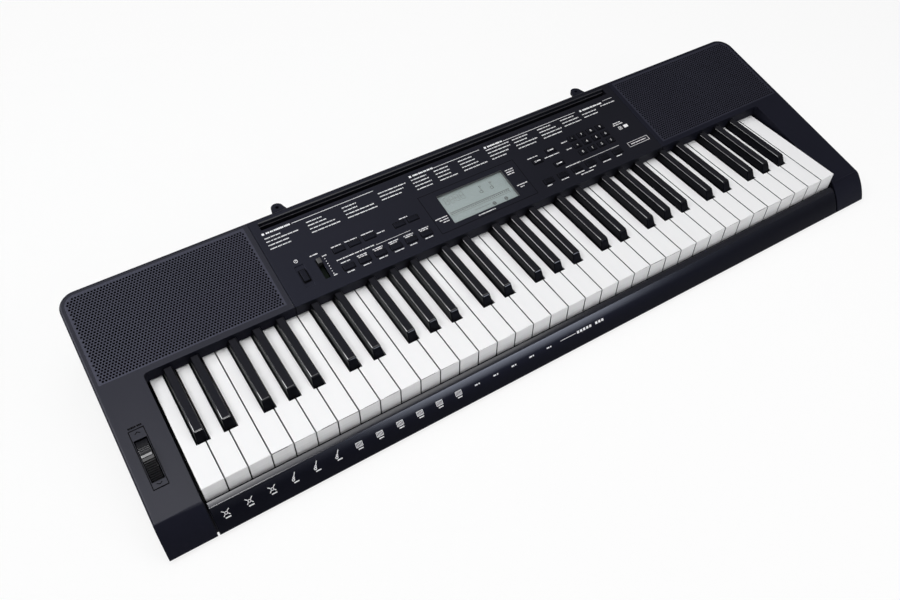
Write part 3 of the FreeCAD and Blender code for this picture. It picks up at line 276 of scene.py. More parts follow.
# Speakers
# A pressed frame, a paper cone with a rolled edge and a ferrite magnet behind each grille.
# They hang under the grilles by their rims and hardly show through the holes.


def pressed_paper(name, dark, light, fibre, roughness):
    """Matted fibres: paper of a cone, or felt with a larger fibre."""
    material, shader, place = new_finish(name)
    mat = place.node("ShaderNodeTexNoise", {},
                     {"Vector": place, "Scale": 1 / fibre, "Detail": 6.0, "Distortion": 1.5})
    feed(shader, "Base Color", mat.ramp(0.3, 0.7).tint(dark, light))
    feed(shader, "Roughness", roughness + 0.1 * mat)
    shader.inputs["Specular IOR Level"].default_value = 0.05
    feed(shader, "Normal", mat.bump(0.4, fibre / 3))
    return material


dress(pressed_paper("cone_paper", (0.010, 0.010, 0.010), (0.03, 0.03, 0.03), 0.0015, 0.8), "speaker_cones")
dress(pressed_paper("ferrite", (0.03, 0.03, 0.032), (0.06, 0.06, 0.06), 0.0008, 0.6), "speaker_magnets")
frame_paint = moulded_plastic("frame_paint", (0.008, 0.008, 0.008), (0.014, 0.014, 0.014), 0.6, 0.2)
dress(frame_paint, "speaker_frames")

# Key bed
# A dark moulded tray that carries the pivot rod and the dark felts that stop the keys.
# All of it lies under the keys and shows only as the dark between them.

tray_plastic = moulded_plastic("tray_plastic", (0.006, 0.006, 0.007), (0.010, 0.010, 0.011), 0.6, 0.2)
dress(tray_plastic, "key_chassis", "pitch_wheel_holder")
dress(pressed_paper("stop_felt", (0.010, 0.010, 0.011), (0.02, 0.02, 0.022), 0.0009, 0.9), "key_stop_felts")

# Rubber contacts
# Moulded strips of rubber domes, one strip to an octave, lying on the contact board.
# The peg under a key comes down on its dome, and the dome lifts the key again.


def start_piece(name):
    """An empty piece in edit mode, to add shapes to."""
    bpy.ops.object.select_all(action="DESELECT")
    piece = bpy.data.objects.new(name, bpy.data.meshes.new(name))
    bpy.context.scene.collection.objects.link(piece)
    bpy.context.view_layer.objects.active = piece
    piece.select_set(True)
    bpy.ops.object.mode_set(mode="EDIT")
    return piece


def finish_rubber(piece):
    """Ends the modelling of a rubber piece and puts it in place of the built strips."""
    bpy.ops.object.mode_set(mode="OBJECT")
    bpy.ops.object.shade_smooth_by_angle(angle=RUBBER_FOLD)
    paint(piece, dome_rubber)
    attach(piece, "case")
    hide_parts("rubber_contacts")


def key_body(octave, note):
    """The body that a note's key belongs to."""
    if octave == OCTAVES:
        return "top_key_c"
    if octave == MIDDLE_OCTAVE:
        return "middle_key_" + NOTES[note]
    return f"octave_{octave + 1}_" + KEY_SETS.get(NOTES[note], "black_keys")


OCTAVES, MIDDLE_OCTAVE = 5, 2
NOTES = ("c", "c_sharp", "d", "d_sharp", "e", "f", "f_sharp", "g", "g_sharp", "a", "a_sharp", "b")
KEY_SETS = {**dict.fromkeys("cegb", "keys_cegb"), **dict.fromkeys("dfa", "keys_dfa")}
WEB_THICKNESS = 0.001
WEB_RIM = 0.001
DOME_CROWN = 0.0025
DOME_SIDES = 20
RUBBER_FOLD = math.radians(30)
PEG_PLAY = 0.0003
PRESSED_PLAY = 0.0001
slot_of = {entry["node"]: entry["material_slot"] for entry in frame["record"]["subparts"]}
joints = {joint["name"]: joint for joint in frame["joints"]}
dome_rubber = moulded_plastic("dome_rubber", (0.02, 0.02, 0.02), (0.03, 0.03, 0.03), 0.7, 0.2)
contact_low, contact_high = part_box("rubber_contacts")
contact_y = (contact_low.y + contact_high.y) / 2
web_top = contact_low.z + WEB_THICKNESS
dome_height = contact_high.z - web_top
dome_foot = (contact_high.y - contact_low.y) / 2 - WEB_RIM
corners = [vertex.co for vertex in frame["nodes"]["rubber_contacts"].data.vertices]
ends = sorted({round(co.x, 5) for co in corners if co.z < contact_low.z + WEB_THICKNESS / 2})
web = start_piece("contact_webs")
for left, right in zip(ends[0::2], ends[1::2]):
    middle = ((left + right) / 2, contact_y, web_top - WEB_THICKNESS / 2)
    bpy.ops.mesh.primitive_cube_add(size=1, location=middle)
    spread = (right - left, contact_high.y - contact_low.y, WEB_THICKNESS)
    bpy.ops.transform.resize(value=spread, center_override=middle)
finish_rubber(web)
crowns = []
for x in sorted(co.x for co in corners if co.z > contact_high.z - WEB_THICKNESS / 100):
    if not crowns or x - crowns[-1][-1] > DOME_CROWN:
        crowns.append([])
    crowns[-1].append(x)
domes = {}
for place, crown in enumerate(crowns):
    domes.setdefault(key_body(*divmod(place, len(NOTES))), []).append((crown[0] + crown[-1]) / 2)
for body, places in domes.items():
    pivot = Vector(joints[body + "_joint"]["pos_m"])
    turn = math.radians(max(joints[body + "_joint"]["range_deg"]))
    arm = contact_y - DOME_CROWN - pivot.y
    drop = contact_high.z + PEG_PLAY - pivot.z
    pressed = pivot.z + arm * math.sin(turn) + drop * math.cos(turn) - PRESSED_PLAY
    group = start_piece(body + "_domes")
    for x in places:
        middle = (x, contact_y, web_top + dome_height / 2)
        bpy.ops.mesh.primitive_cone_add(vertices=DOME_SIDES, radius1=dome_foot, radius2=DOME_CROWN,
                                        depth=dome_height, location=middle)
    finish_rubber(group)
    left_over = (pressed - web_top) / dome_height
    body + "_joint"
    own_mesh(group)

# White keys
# Hollow glossy mouldings, each with a deep front lip and a neck between the black keys.
# Their edges are a little rounded, and their flanks, which lie in the dark between the keys, are painted
# dark grey as painted shade.


def key_ivory(name):
    """Polished white plastic, duller where fingers wear it, with flanks painted dark as painted shade, and
    the front a little darker below the lip's step, with a darker line just under it.
    """
    material, shader, place = new_finish(name)
    wear = place.noise(30.0, 4.0)
    dust = place.noise(900.0)
    facing = place.node("ShaderNodeTexCoord", output="Normal")
    across = facing.axis(0)
    along = facing.axis(1)
    height = place.axis(2)
    # Painted shade: the flanks and their rounded edges turn dark grey, standing for the dark between the
    # keys.
    flank = (across * across).ramp(0.03, 0.15)
    lower = (-1 * along).ramp(0.7, 0.9) * (LIP_STEP - height).ramp(0, LIP_BLUR)
    line = lower * (height - LIP_STEP + LIP_LINE).ramp(0, LIP_BLUR)
    shade = flank + 0.05 * lower + 0.1 * line
    feed(shader, "Base Color", shade.tint((0.86, 0.86, 0.87), (0.09, 0.09, 0.095)))
    feed(shader, "Roughness", 0.24 + 0.12 * wear + 0.05 * dust)
    feed(shader, "Normal", dust.bump(0.05, 0.0002))
    shader.inputs["Specular IOR Level"].default_value = 0.45
    return material


LIP_STEP = 0.0412
LIP_LINE = 0.0006
LIP_BLUR = 0.0002
white_finish = key_ivory("key_ivory")
WHITE_ROUNDING = 0.0005
KEY_SHORTEST = 0.003
for node in sorted(slot_of):
    if slot_of[node] == "white_key":
        paint(softened(node, WHITE_ROUNDING, KEY_SHORTEST), white_finish)

# Black keys
# Tapered mouldings with a fine matt top and polished flanks and nose.
# The rounded crown between them catches the long highlights along each key.


def key_ebony(name):
    """Dull where it faces up, polished on the shoulders and less so on the nose; painted lighter where it
    faces up and near black on the flanks and nose, as painted light and shade.
    """
    material, shader, place = new_finish(name)
    facing = place.node("ShaderNodeTexCoord", output="Normal")
    rise = facing.axis(2)
    nose = (-1 * facing.axis(1)).ramp(0.1, 0.35)
    upward = rise.ramp(0.97, 0.995)
    pimples = place.noise(1600.0)
    # Painted light and shade: faces that look up get a much lighter base than the flanks and nose.
    lit_top_and_pimples = 0.8 * upward + 0.2 * pimples
    feed(shader, "Base Color", lit_top_and_pimples.tint((0.0015, 0.0015, 0.0018), (0.014, 0.014, 0.0165)))
    feed(shader, "Roughness", 0.3 + 0.25 * upward + 0.08 * (pimples - 0.5))
    feed(shader, "Coat Weight", rise.ramp(0.55, 0.7) * (1 - upward) * (1 - 0.55 * nose))
    shader.inputs["Coat Roughness"].default_value = 0.05
    shader.inputs["Coat IOR"].default_value = 1.9
    feed(shader, "Normal", (pimples * upward).bump(0.1, 0.00015))
    shader.inputs["Specular IOR Level"].default_value = 0.05
    shader.inputs["Specular Tint"].default_value = (*COOL_SHINE, 1)
    return material


black_finish = key_ebony("key_ebony")
BLACK_ROUNDING = 0.0003
for node in sorted(slot_of):
    if slot_of[node] == "black_key":
        paint(softened(node, BLACK_ROUNDING, KEY_SHORTEST), black_finish)

# Front rail
# A long rounded strip below the key fronts, smoother than the case, with a sloping ledge on top.
# The ledge reaches back to the keys, so no gap shows behind it.
# Small pictures and numbers for the split sounds are printed on its face in white ink.


def pick(chosen):
    """Selects the vertices of the mesh being edited that a test accepts."""
    mesh = bmesh.from_edit_mesh(bpy.context.edit_object.data)
    for vertex in mesh.verts:
        vertex.select_set(chosen(vertex.co))
    mesh.select_flush_mode()
    bmesh.update_edit_mesh(bpy.context.edit_object.data)


RAIL_ROUNDING = 0.001
LEDGE_REACH = 0.002
LEDGE_DEPTH = 0.0025
LEDGE_TILT = math.radians(20)
rail_plastic, rail_shader, rail_place = new_finish("rail_plastic")
rail_facing = rail_place.node("ShaderNodeTexCoord", output="Normal")
rail_ledge = rail_facing.axis(2).ramp(0.58, 0.85)
rail_grain = rail_place.noise(1800.0)
feed(rail_shader, "Base Color", rail_grain.tint((0.0035, 0.0037, 0.006), (0.0055, 0.0058, 0.009)))
feed(rail_shader, "Roughness", 0.36 + 0.08 * (rail_grain - 0.5))
feed(rail_shader, "Coat Weight", rail_ledge)
rail_shader.inputs["Coat Roughness"].default_value = 0.2
rail_shader.inputs["Coat IOR"].default_value = 1.65
rail_shader.inputs["Coat Tint"].default_value = (*COOL_SHINE, 1)
rail_shader.inputs["Specular IOR Level"].default_value = 0.05
rail_shader.inputs["Specular Tint"].default_value = (*COOL_SHINE, 1)
rail = paint(softened("front_rail", RAIL_ROUNDING, CASE_SHORTEST), rail_plastic)
rail_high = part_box("front_rail")[1]
bpy.ops.object.mode_set(mode="EDIT")
pick(lambda co: co.y > rail_high.y - 2 * RAIL_ROUNDING and co.z > rail_high.z - LEDGE_DEPTH)
bpy.ops.transform.translate(value=(0, LEDGE_REACH, LEDGE_REACH * math.tan(LEDGE_TILT)))
bpy.ops.object.mode_set(mode="OBJECT")

ink, ink_shader, ink_place = new_finish("white_ink")
ink_mottle = ink_place.noise(2500.0)
feed(ink_shader, "Base Color", ink_mottle.ramp(0.25, 0.6).tint((0.72, 0.72, 0.74), (0.88, 0.88, 0.9)))
feed(ink_shader, "Roughness", 0.45 + 0.2 * ink_mottle)


def bar(x, y, length, height, turn=0.0):
    """A printed bar about (x, y), in millimetres on the sheet."""
    middle = (x / 1000, y / 1000, 0)
    bpy.ops.mesh.primitive_plane_add(size=0.001, location=middle)
    bpy.ops.transform.resize(value=(length, height, 1), center_override=middle)
    if turn:
        bpy.ops.transform.rotate(value=-turn, orient_axis="Z", center_override=middle)


def ring(x, y, radius, width, corners=12):
    """A printed ring made by insetting a disc and taking its middle out."""
    bpy.ops.mesh.primitive_circle_add(vertices=corners, radius=radius / 1000, fill_type="NGON",
                                      location=(x / 1000, y / 1000, 0))
    bpy.ops.mesh.inset(thickness=width / 1000)
    bpy.ops.mesh.delete(type="FACE")


def words(x, y, length, height):
    """Greeked lettering: short blocks in groups like the words of a line, from x to the right."""
    reach = x
    left = random_words.randint(2, 6)
    while reach < x + length - LEAST_LETTER:
        letter = random_words.uniform(0.8, 1.3) * height / LETTER
        bar(reach + letter / 2, y, letter, height * random_words.uniform(0.8, 1.0))
        left -= 1
        reach += letter + (LETTER_GAP if left else WORD_GAP)
        left = left or random_words.randint(2, 6)


def finish_print(sheet, place, body="case", finish=ink, wrap=None):
    """Sets a printed sheet in its place, laid on a curved face if need be, and gives it thickness."""
    bpy.ops.object.mode_set(mode="OBJECT")
    sheet.matrix_world = place
    if wrap:
        laid = sheet.modifiers.new("laid", "SHRINKWRAP")
        laid.target = wrap
        laid.wrap_method = "PROJECT"
        laid.use_project_z = True
        laid.use_negative_direction = True
        laid.offset = INK_LIFT
        bpy.ops.object.modifier_apply(modifier=laid.name)
    film = sheet.modifiers.new("film", "SOLIDIFY")
    film.thickness = INK_FILM
    film.offset = 1
    bpy.ops.object.modifier_apply(modifier=film.name)
    bpy.ops.object.transform_apply(location=True, rotation=True, scale=True)
    paint(sheet, finish)
    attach(sheet, body)
    return sheet


INK_LIFT = 0.00012
INK_FILM = 0.00006
random_words = random.Random(61)
LETTER = 1.5
LEAST_LETTER = 0.6
LETTER_GAP = 0.3
WORD_GAP = 1.0
RAIL_SLOPE = math.radians(54.5)
RAIL_FACE = Vector((0, -0.1483, 0.0158))
PRINT_DROP = 0.012
DRUMS_END, GUITARS_END, ORGANS_END, NUMBERS_END = 3, 6, 12, 17
key_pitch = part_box("middle_key_d")[0].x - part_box("middle_key_c")[0].x
first_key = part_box("octave_1_keys_cegb")[0].x + key_pitch / 2
rail_tilt = Matrix.Rotation(RAIL_SLOPE, 4, "X")
rail_sheet = start_piece("rail_print")
for place in range(ORGANS_END):
    x = (first_key + place * key_pitch) * 1000
    bar(x + 0.5, 1.6, 5.5, 1.2)
    if place < DRUMS_END:
        ring(x, 6.6, 1.7, 0.6)
        for side in (-1, 1):
            bar(x + side * 2.6, 9.0, 3.0, 0.8, side * 0.7)
            bar(x + side * 2.4, 4.6, 2.4, 0.8, -side * 0.9)
    elif place < GUITARS_END:
        ring(x - 1.9, 4.9, 1.6, 0.8)
        ring(x - 1.0, 7.0, 1.2, 0.7)
        bar(x + 0.7, 10.0, 4.6, 0.8, 1.05)
    else:
        for level in (4.0, 9.0):
            bar(x, level, 7.4, 0.6)
        for step in range(6):
            bar(x - 3.5 + 1.4 * step, 6.5, 0.6, 5.0)
for place in range(ORGANS_END, NUMBERS_END):
    x = (first_key + place * key_pitch) * 1000
    bar(x - 1.6, 5.6, 3.4, 1.5)
    bar(x + 2.0, 5.6, 1.6, 1.5)
bar((first_key + (NUMBERS_END + 0.1) * key_pitch) * 1000, 6.0, 21, 0.5)
title = (first_key + (NUMBERS_END + 0.7) * key_pitch) * 1000
for step in range(9):
    if step != 5:
        bar(title + 4.3 * step, 6.0, 2.9, 2.9)
print_place = Matrix.Translation(RAIL_FACE) @ rail_tilt @ Matrix.Translation((0, 0, PRINT_DROP))
finish_print(rail_sheet, print_place, wrap=rail)

# End covers and grilles
# The two outer mouldings of the top, each with a field of small round holes over its speaker.
# The holes are moulded in staggered rows and run into the rounded rear corner.

for cover in ("left_end_cover", "right_end_cover"):
    paint(softened(cover, CASE_ROUNDING, CASE_SHORTEST), case_plastic)
grille_plastic = moulded_plastic("grille_plastic", (0.016, 0.016, 0.022), (0.021, 0.021, 0.028), 0.45, 0.18,
                                 COOL_SHINE, top=0.3)
HOLE_PITCH = 0.0034
ROW_PITCH = 0.0030
HOLE_RADIUS = 0.0013
HOLE_SIDES = 8
CELL_WELD = 0.00002
FIELD_RIM = 0.006
FIELD_FRONT = 0.007
FIELD_CORNER = 0.014
CORNER_CUTS = 6
FIELD_EDGE = 0.0025
PLATE_THICKNESS = 0.0009
PLATE_RISE = 0.00003
CLOTH_DEPTH = 0.0028
CLOTH_INSET = 0.003
WHEEL_DEPTH = 0.022
WHEEL_SETBACK = 0.087
face_out = -Vector(joints["power_button_joint"]["axis"])
slope_up = -Vector(joints["volume_knob_joint"]["axis"])
axle = Vector(joints["pitch_wheel_joint"]["pos_m"])
opening_edge = axle + WHEEL_DEPTH * face_out + WHEEL_SETBACK * slope_up
opening_edge.x = 0
PANEL = Matrix((Vector((1, 0, 0)), slope_up, face_out)).transposed().to_4x4()
PANEL.translation = opening_edge


def punched_cells(columns, pairs):
    """A sheet of cells, each a rectangle with a round hole, in staggered rows."""
    bpy.ops.object.select_all(action="DESELECT")
    bpy.ops.mesh.primitive_circle_add(vertices=HOLE_SIDES, radius=HOLE_RADIUS)
    sheet = bpy.context.active_object
    bpy.ops.object.mode_set(mode="EDIT")
    bpy.ops.mesh.select_all(action="SELECT")
    bpy.ops.mesh.extrude_edges_move()
    bpy.ops.transform.resize(value=(HOLE_PITCH / 2 / HOLE_RADIUS,) * 3, center_override=(0, 0, 0))
    pick(lambda co: co.length > 1.2 * HOLE_RADIUS and abs(abs(co.x) - abs(co.y)) < HOLE_RADIUS / 10)
    bpy.ops.transform.resize(value=(math.sqrt(2),) * 3, center_override=(0, 0, 0))
    pick(lambda co: co.length > 1.2 * HOLE_RADIUS)
    bpy.ops.transform.resize(value=(1, ROW_PITCH / HOLE_PITCH, 1), center_override=(0, 0, 0))
    bpy.ops.object.mode_set(mode="OBJECT")
    repeat(sheet, columns, (HOLE_PITCH, 0, 0))
    bpy.ops.object.mode_set(mode="EDIT")
    bpy.ops.mesh.select_all(action="SELECT")
    bpy.ops.mesh.duplicate_move(TRANSFORM_OT_translate={"value": (HOLE_PITCH / 2, ROW_PITCH, 0)})
    bpy.ops.object.mode_set(mode="OBJECT")
    repeat(sheet, pairs, (0, 2 * ROW_PITCH, 0))
    bpy.ops.object.mode_set(mode="EDIT")
    bpy.ops.mesh.select_all(action="SELECT")
    bpy.ops.mesh.remove_doubles(threshold=CELL_WELD)
    bpy.ops.object.mode_set(mode="OBJECT")
    if sheet.data.polygons[0].normal.z < 0:
        bpy.ops.object.mode_set(mode="EDIT")
        bpy.ops.mesh.flip_normals()
        bpy.ops.object.mode_set(mode="OBJECT")
    return sheet


def repeat(piece, count, step):
    """Copies a piece in a row, as one mesh."""
    copies = piece.modifiers.new("copies", "ARRAY")
    copies.count = count
    copies.use_relative_offset = False
    copies.use_constant_offset = True
    copies.constant_offset_displace = step
    bpy.ops.object.modifier_apply(modifier=copies.name)


def grille(name, cover, side):
    """The holed field of one cover: side is -1 on the left and 1 on the right."""
    low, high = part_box(cover)
    left, right = low.x + FIELD_RIM, high.x - FIELD_RIM
    front = FIELD_FRONT
    rear = (high.y - FIELD_RIM - opening_edge.y) / slope_up.y
    bend = Vector(((left + FIELD_CORNER) if side < 0 else (right - FIELD_CORNER), rear - FIELD_CORNER))
    columns = int((right - left) / HOLE_PITCH) + 2
    pairs = int((rear - front) / ROW_PITCH / 2) + 2
    sheet = punched_cells(columns, pairs)
    sheet.name = name
    bpy.ops.object.mode_set(mode="EDIT")
    bpy.ops.mesh.select_all(action="SELECT")
    bpy.ops.transform.translate(value=(left, front, 0))

    def holed(x, y):
        """True where the field has a hole about (x, y)."""
        if side * (x - bend.x) > 0 and y > bend.y:
            return (Vector((x, y)) - bend).length < FIELD_CORNER - FIELD_EDGE
        return left + FIELD_EDGE < x < right - FIELD_EDGE and front + FIELD_EDGE < y < rear - FIELD_EDGE

    bpy.ops.mesh.select_mode(type="EDGE")
    mesh = bmesh.from_edit_mesh(sheet.data)
    for edge in mesh.edges:
        middle = (edge.verts[0].co + edge.verts[1].co) / 2
        row = round((middle.y - front) / ROW_PITCH)
        shift = left + (row % 2) * HOLE_PITCH / 2
        column = round((middle.x - shift) / HOLE_PITCH)
        rim = edge.is_boundary and edge.calc_length() < HOLE_RADIUS
        edge.select_set(rim and not holed(shift + column * HOLE_PITCH, front + row * ROW_PITCH))
    bmesh.update_edit_mesh(sheet.data)
    bpy.ops.mesh.fill_holes(sides=HOLE_SIDES)
    trims = [((left, 0), (-1, 0)), ((right, 0), (1, 0)), ((0, front), (0, -1)), ((0, rear), (0, 1))]
    for step in range(1, CORNER_CUTS):
        turn = math.radians(90 / CORNER_CUTS * step)
        outward = Vector((side * math.cos(turn), math.sin(turn)))
        trims.append((bend + FIELD_CORNER * outward, outward))
    for point, outward in trims:
        bpy.ops.mesh.select_all(action="SELECT")
        bpy.ops.mesh.bisect(plane_co=(*point, 0), plane_no=(*outward, 0), clear_outer=True)
    bpy.ops.object.mode_set(mode="OBJECT")
    wall = sheet.modifiers.new("wall", "SOLIDIFY")
    wall.thickness = PLATE_THICKNESS
    wall.offset = -1
    bpy.ops.object.modifier_apply(modifier=wall.name)
    sheet.matrix_world = PANEL @ Matrix.Translation((0, 0, PLATE_RISE))
    bpy.ops.object.transform_apply(location=True, rotation=True, scale=True)
    paint(sheet, grille_plastic)
    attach(sheet, "case")
    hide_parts("speaker_grilles")
    bpy.ops.object.select_all(action="DESELECT")
    bpy.ops.mesh.primitive_plane_add(size=1)
    cloth = bpy.context.active_object
    cloth.name = name + "_cloth"
    cloth.scale = (right - left - 2 * CLOTH_INSET, rear - front - 2 * CLOTH_INSET, 1)
    cloth.location = ((left + right) / 2, (front + rear) / 2, -CLOTH_DEPTH)
    bpy.ops.object.transform_apply(location=True, rotation=True, scale=True)
    cloth.matrix_world = PANEL
    bpy.ops.object.transform_apply(location=True, rotation=True, scale=True)
    paint(cloth, dust_cloth)
    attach(cloth, "case")


# Black cloth behind the grilles; the same dark finish prints the wheel plate's marks and the painted shade
# of the surround seam and button gaps.
dust_cloth = pressed_paper("dust_cloth", (0.0008, 0.0008, 0.0008), (0.0016, 0.0016, 0.0016), 0.0006, 0.9)
grille("left_grille", "left_end_cover", -1)
grille("right_grille", "right_end_cover", 1)

# Control panel
# The middle moulding of the top, with holes for the buttons and a long slot for the music rest.
# A bead runs along the slot's rear edge and a rib along its rear wall, where the music rest clips in; both
# are a lighter grey than the panel, as painted highlights along the slot.

panel_plastic = moulded_plastic("panel_plastic", (0.005, 0.005, 0.0062), (0.007, 0.007, 0.0088), 0.5, 0.16,
                                COOL_SHINE)
paint(softened("control_panel", CASE_ROUNDING, CASE_SHORTEST), panel_plastic)
REST_SLOT_LENGTH = 496.0
REST_SLOT_PLAY = 0.5
REST_SLOT_WIDTH = 9.0
REST_SLOT_INSET = 13.2
BEAD_WIDTH = 1.6
BEAD_RISE = 0.25
RIB_WIDTH = 0.35
RIB_HEIGHT = 1.0
RIB_DROP = 4.5
RIB_ROUNDING, BEAD_ROUNDING = 0.1, 0.2
CUTTER_DEPTH = 20
strip_length = REST_SLOT_LENGTH - 2 * REST_SLOT_PLAY
panel_rear = (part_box("control_panel")[1].y - opening_edge.y) / slope_up.y * 1000


def raised_strip(name, u, v, length, width, rise, rounding, lift=0.0, body="case"):
    """A low strip on the sloping face or lifted off it, in millimetres, with its edges rounded."""
    bpy.ops.object.select_all(action="DESELECT")
    bpy.ops.mesh.primitive_cube_add(size=0.001)
    strip = bpy.context.active_object
    strip.name = name
    bpy.ops.object.mode_set(mode="EDIT")
    bpy.ops.mesh.select_all(action="SELECT")
    bpy.ops.transform.resize(value=(length, width, 2 * rise), center_override=(0, 0, 0))
    bpy.ops.mesh.bevel(offset=rounding / 1000, segments=2, affect="EDGES")
    bpy.ops.transform.translate(value=(u / 1000, v / 1000, lift / 1000))
    bpy.ops.object.mode_set(mode="OBJECT")
    strip.matrix_world = PANEL
    bpy.ops.object.transform_apply(location=True, rotation=True, scale=True)
    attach(strip, body)
    return strip


def window_in(strip, u, v, length, width):
    """Cuts an upright window, in millimetres on the sloping face, through a strip."""
    bpy.ops.object.select_all(action="DESELECT")
    bpy.ops.mesh.primitive_cube_add(size=0.001)
    cutter = bpy.context.active_object
    bpy.ops.object.mode_set(mode="EDIT")
    bpy.ops.transform.resize(value=(length, width, CUTTER_DEPTH), center_override=(0, 0, 0))
    bpy.ops.transform.translate(value=(u / 1000, v / 1000, 0))
    bpy.ops.object.mode_set(mode="OBJECT")
    cutter.matrix_world = PANEL
    cut = strip.modifiers.new("window", "BOOLEAN")
    cut.operation = "DIFFERENCE"
    cut.object = cutter
    bpy.context.view_layer.objects.active = strip
    bpy.ops.object.modifier_apply(modifier=cut.name)
    bpy.data.objects.remove(cutter)


slot_rear = REST_SLOT_INSET - REST_SLOT_WIDTH / 2
rib_v = panel_rear - (slot_rear + RIB_WIDTH - RIB_DROP * face_out.y) / slope_up.y
rib = raised_strip("slot_rib", 0, rib_v, strip_length, RIB_WIDTH, RIB_HEIGHT / 2, RIB_ROUNDING, -RIB_DROP)
# Painted highlight: the rib is a much lighter grey than the panel, standing for the light line inside the
# shaded slot.
rib_plastic = moulded_plastic("rib_plastic", (0.10, 0.10, 0.115), (0.13, 0.13, 0.15), 0.4, 0.3)
paint(rib, rib_plastic)
bead_v = panel_rear - (slot_rear - BEAD_WIDTH / 2) / slope_up.y
bead = raised_strip("slot_bead", 0, bead_v, strip_length, BEAD_WIDTH, BEAD_RISE, BEAD_ROUNDING)
# Painted highlight: the bead is lighter than the panel, standing for the light line along the slot's rear
# edge.
bead_plastic = moulded_plastic("bead_plastic", (0.016, 0.016, 0.02), (0.022, 0.022, 0.027), 0.35, 0.35)
paint(bead, bead_plastic)

# LCD
# A grey-green glass cell behind a clear window, in a slightly raised surround on the panel.
# It shows plain bars, rings and lines only, and the well around it is lined with a grey frame.

LCD_LENGTH, LCD_WIDTH, LCD_V = 92.6, 43.2, 39.2
SURROUND_LENGTH, SURROUND_WIDTH, SURROUND_RISE = 135.0, 57.0, 0.15
SURROUND_U, SURROUND_V, SURROUND_ROUNDING = 0.5, LCD_V + 0.3, 0.08
SEAM = 0.6
LCD_DEPTH = 3.9
WELL_TOP, WELL_WALL = -0.1, 0.3
surround = raised_strip("lcd_surround", SURROUND_U, SURROUND_V, SURROUND_LENGTH, SURROUND_WIDTH,
                        SURROUND_RISE, SURROUND_ROUNDING)
window_in(surround, 0, LCD_V, LCD_LENGTH, LCD_WIDTH)
paint(surround, panel_plastic)
# Painted shade: a dark line printed round the surround stands for the shadow gap at its edge.
seam_shadow_sheet = start_piece("surround_seam")
for side in (-1, 1):
    bar(SURROUND_U, SURROUND_V + side * (SURROUND_WIDTH + SEAM) / 2, SURROUND_LENGTH + 2 * SEAM, SEAM)
    bar(SURROUND_U + side * (SURROUND_LENGTH + SEAM) / 2, SURROUND_V, SEAM, SURROUND_WIDTH)
finish_print(seam_shadow_sheet, PANEL, finish=dust_cloth)


def lined_well(name, u, v, length, width, top, floor, wall):
    """Four thin walls around a sunk window, in millimetres on the sloping face."""
    bpy.ops.object.select_all(action="DESELECT")
    bpy.ops.mesh.primitive_plane_add(size=0.001)
    well = bpy.context.active_object
    well.name = name
    bpy.ops.object.mode_set(mode="EDIT")
    bpy.ops.mesh.select_all(action="SELECT")
    bpy.ops.transform.resize(value=(length, width, 1), center_override=(0, 0, 0))
    bpy.ops.transform.translate(value=(u / 1000, v / 1000, floor / 1000))
    bpy.ops.mesh.delete(type="ONLY_FACE")
    bpy.ops.mesh.select_all(action="SELECT")
    bpy.ops.mesh.extrude_edges_move(TRANSFORM_OT_translate={"value": (0, 0, (top - floor) / 1000)})
    bpy.ops.mesh.select_all(action="SELECT")
    bpy.ops.mesh.normals_make_consistent(inside=False)
    bpy.ops.object.mode_set(mode="OBJECT")
    lining = well.modifiers.new("lining", "SOLIDIFY")
    lining.thickness = wall / 1000
    lining.offset = -1
    bpy.ops.object.modifier_apply(modifier=lining.name)
    well.matrix_world = PANEL
    bpy.ops.object.transform_apply(location=True, rotation=True, scale=True)
    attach(well, "case")
    return well


lcd_well = lined_well("lcd_well", 0, LCD_V, LCD_LENGTH, LCD_WIDTH, WELL_TOP, -LCD_DEPTH, WELL_WALL)
well_plastic = moulded_plastic("well_plastic", (0.075, 0.078, 0.082), (0.095, 0.098, 0.102), 0.5, 0.3)
paint(lcd_well, well_plastic)

cell, cell_shader, cell_place = new_finish("lcd_cell")
cell_haze = cell_place.noise(25.0)
feed(cell_shader, "Base Color", cell_haze.ramp(0.2, 0.8).tint((0.225, 0.28, 0.28), (0.26, 0.32, 0.32)))
feed(cell_shader, "Roughness", 0.3 + 0.2 * cell_haze)
dress(cell, "lcd_module")
clear, clear_shader, clear_place = new_finish("clear_window")
clear_smear = clear_place.noise(40.0, 3.0)
feed(clear_shader, "Roughness", 0.08 + 0.1 * clear_smear)
clear_shader.inputs["Base Color"].default_value = (0.8, 0.85, 0.84, 1)
clear_shader.inputs["Alpha"].default_value = 0.12
dress(clear, "lcd_window")

segment, segment_shader, segment_place = new_finish("lcd_segment")
segment_fade = segment_place.noise(60.0)
feed(segment_shader, "Base Color", segment_fade.tint((0.035, 0.042, 0.042), (0.06, 0.07, 0.07)))
segment_shader.inputs["Roughness"].default_value = 0.5
lcd_sheet = start_piece("lcd_segments")
bar(0, 34.6, 84, 0.9)
bar(0, 29.8, 84, 0.4)
for step in range(28):
    bar(-40.5 + 3 * step, 32.4, 1.5, 1.9)
bar(-2, 25.4, 22, 0.35)
for step in range(4):
    for level in (46.2, 51.4, 56.6):
        bar(-37 + 7.2 * step, level, 4.0, 0.45)
    for side in (-1, 1):
        bar(-37 + 7.2 * step + 2.3 * side, 51.4, 0.45, 9.4)
for u in (9, 24):
    ring(u, 45.5, 2.2, 0.6)
    bar(u + 1.4, 49.0, 0.5, 11.0, 0.12)
    ring(u + 2.2, 53.0, 1.3, 0.5)
for u in (14, 31):
    ring(u, 23.6, 2.6, 1.2)
    bar(u, 23.6, 2.4, 1.6)
finish_print(lcd_sheet, PANEL @ Matrix.Translation((0, 0, -LCD_DEPTH / 1000)), finish=segment)
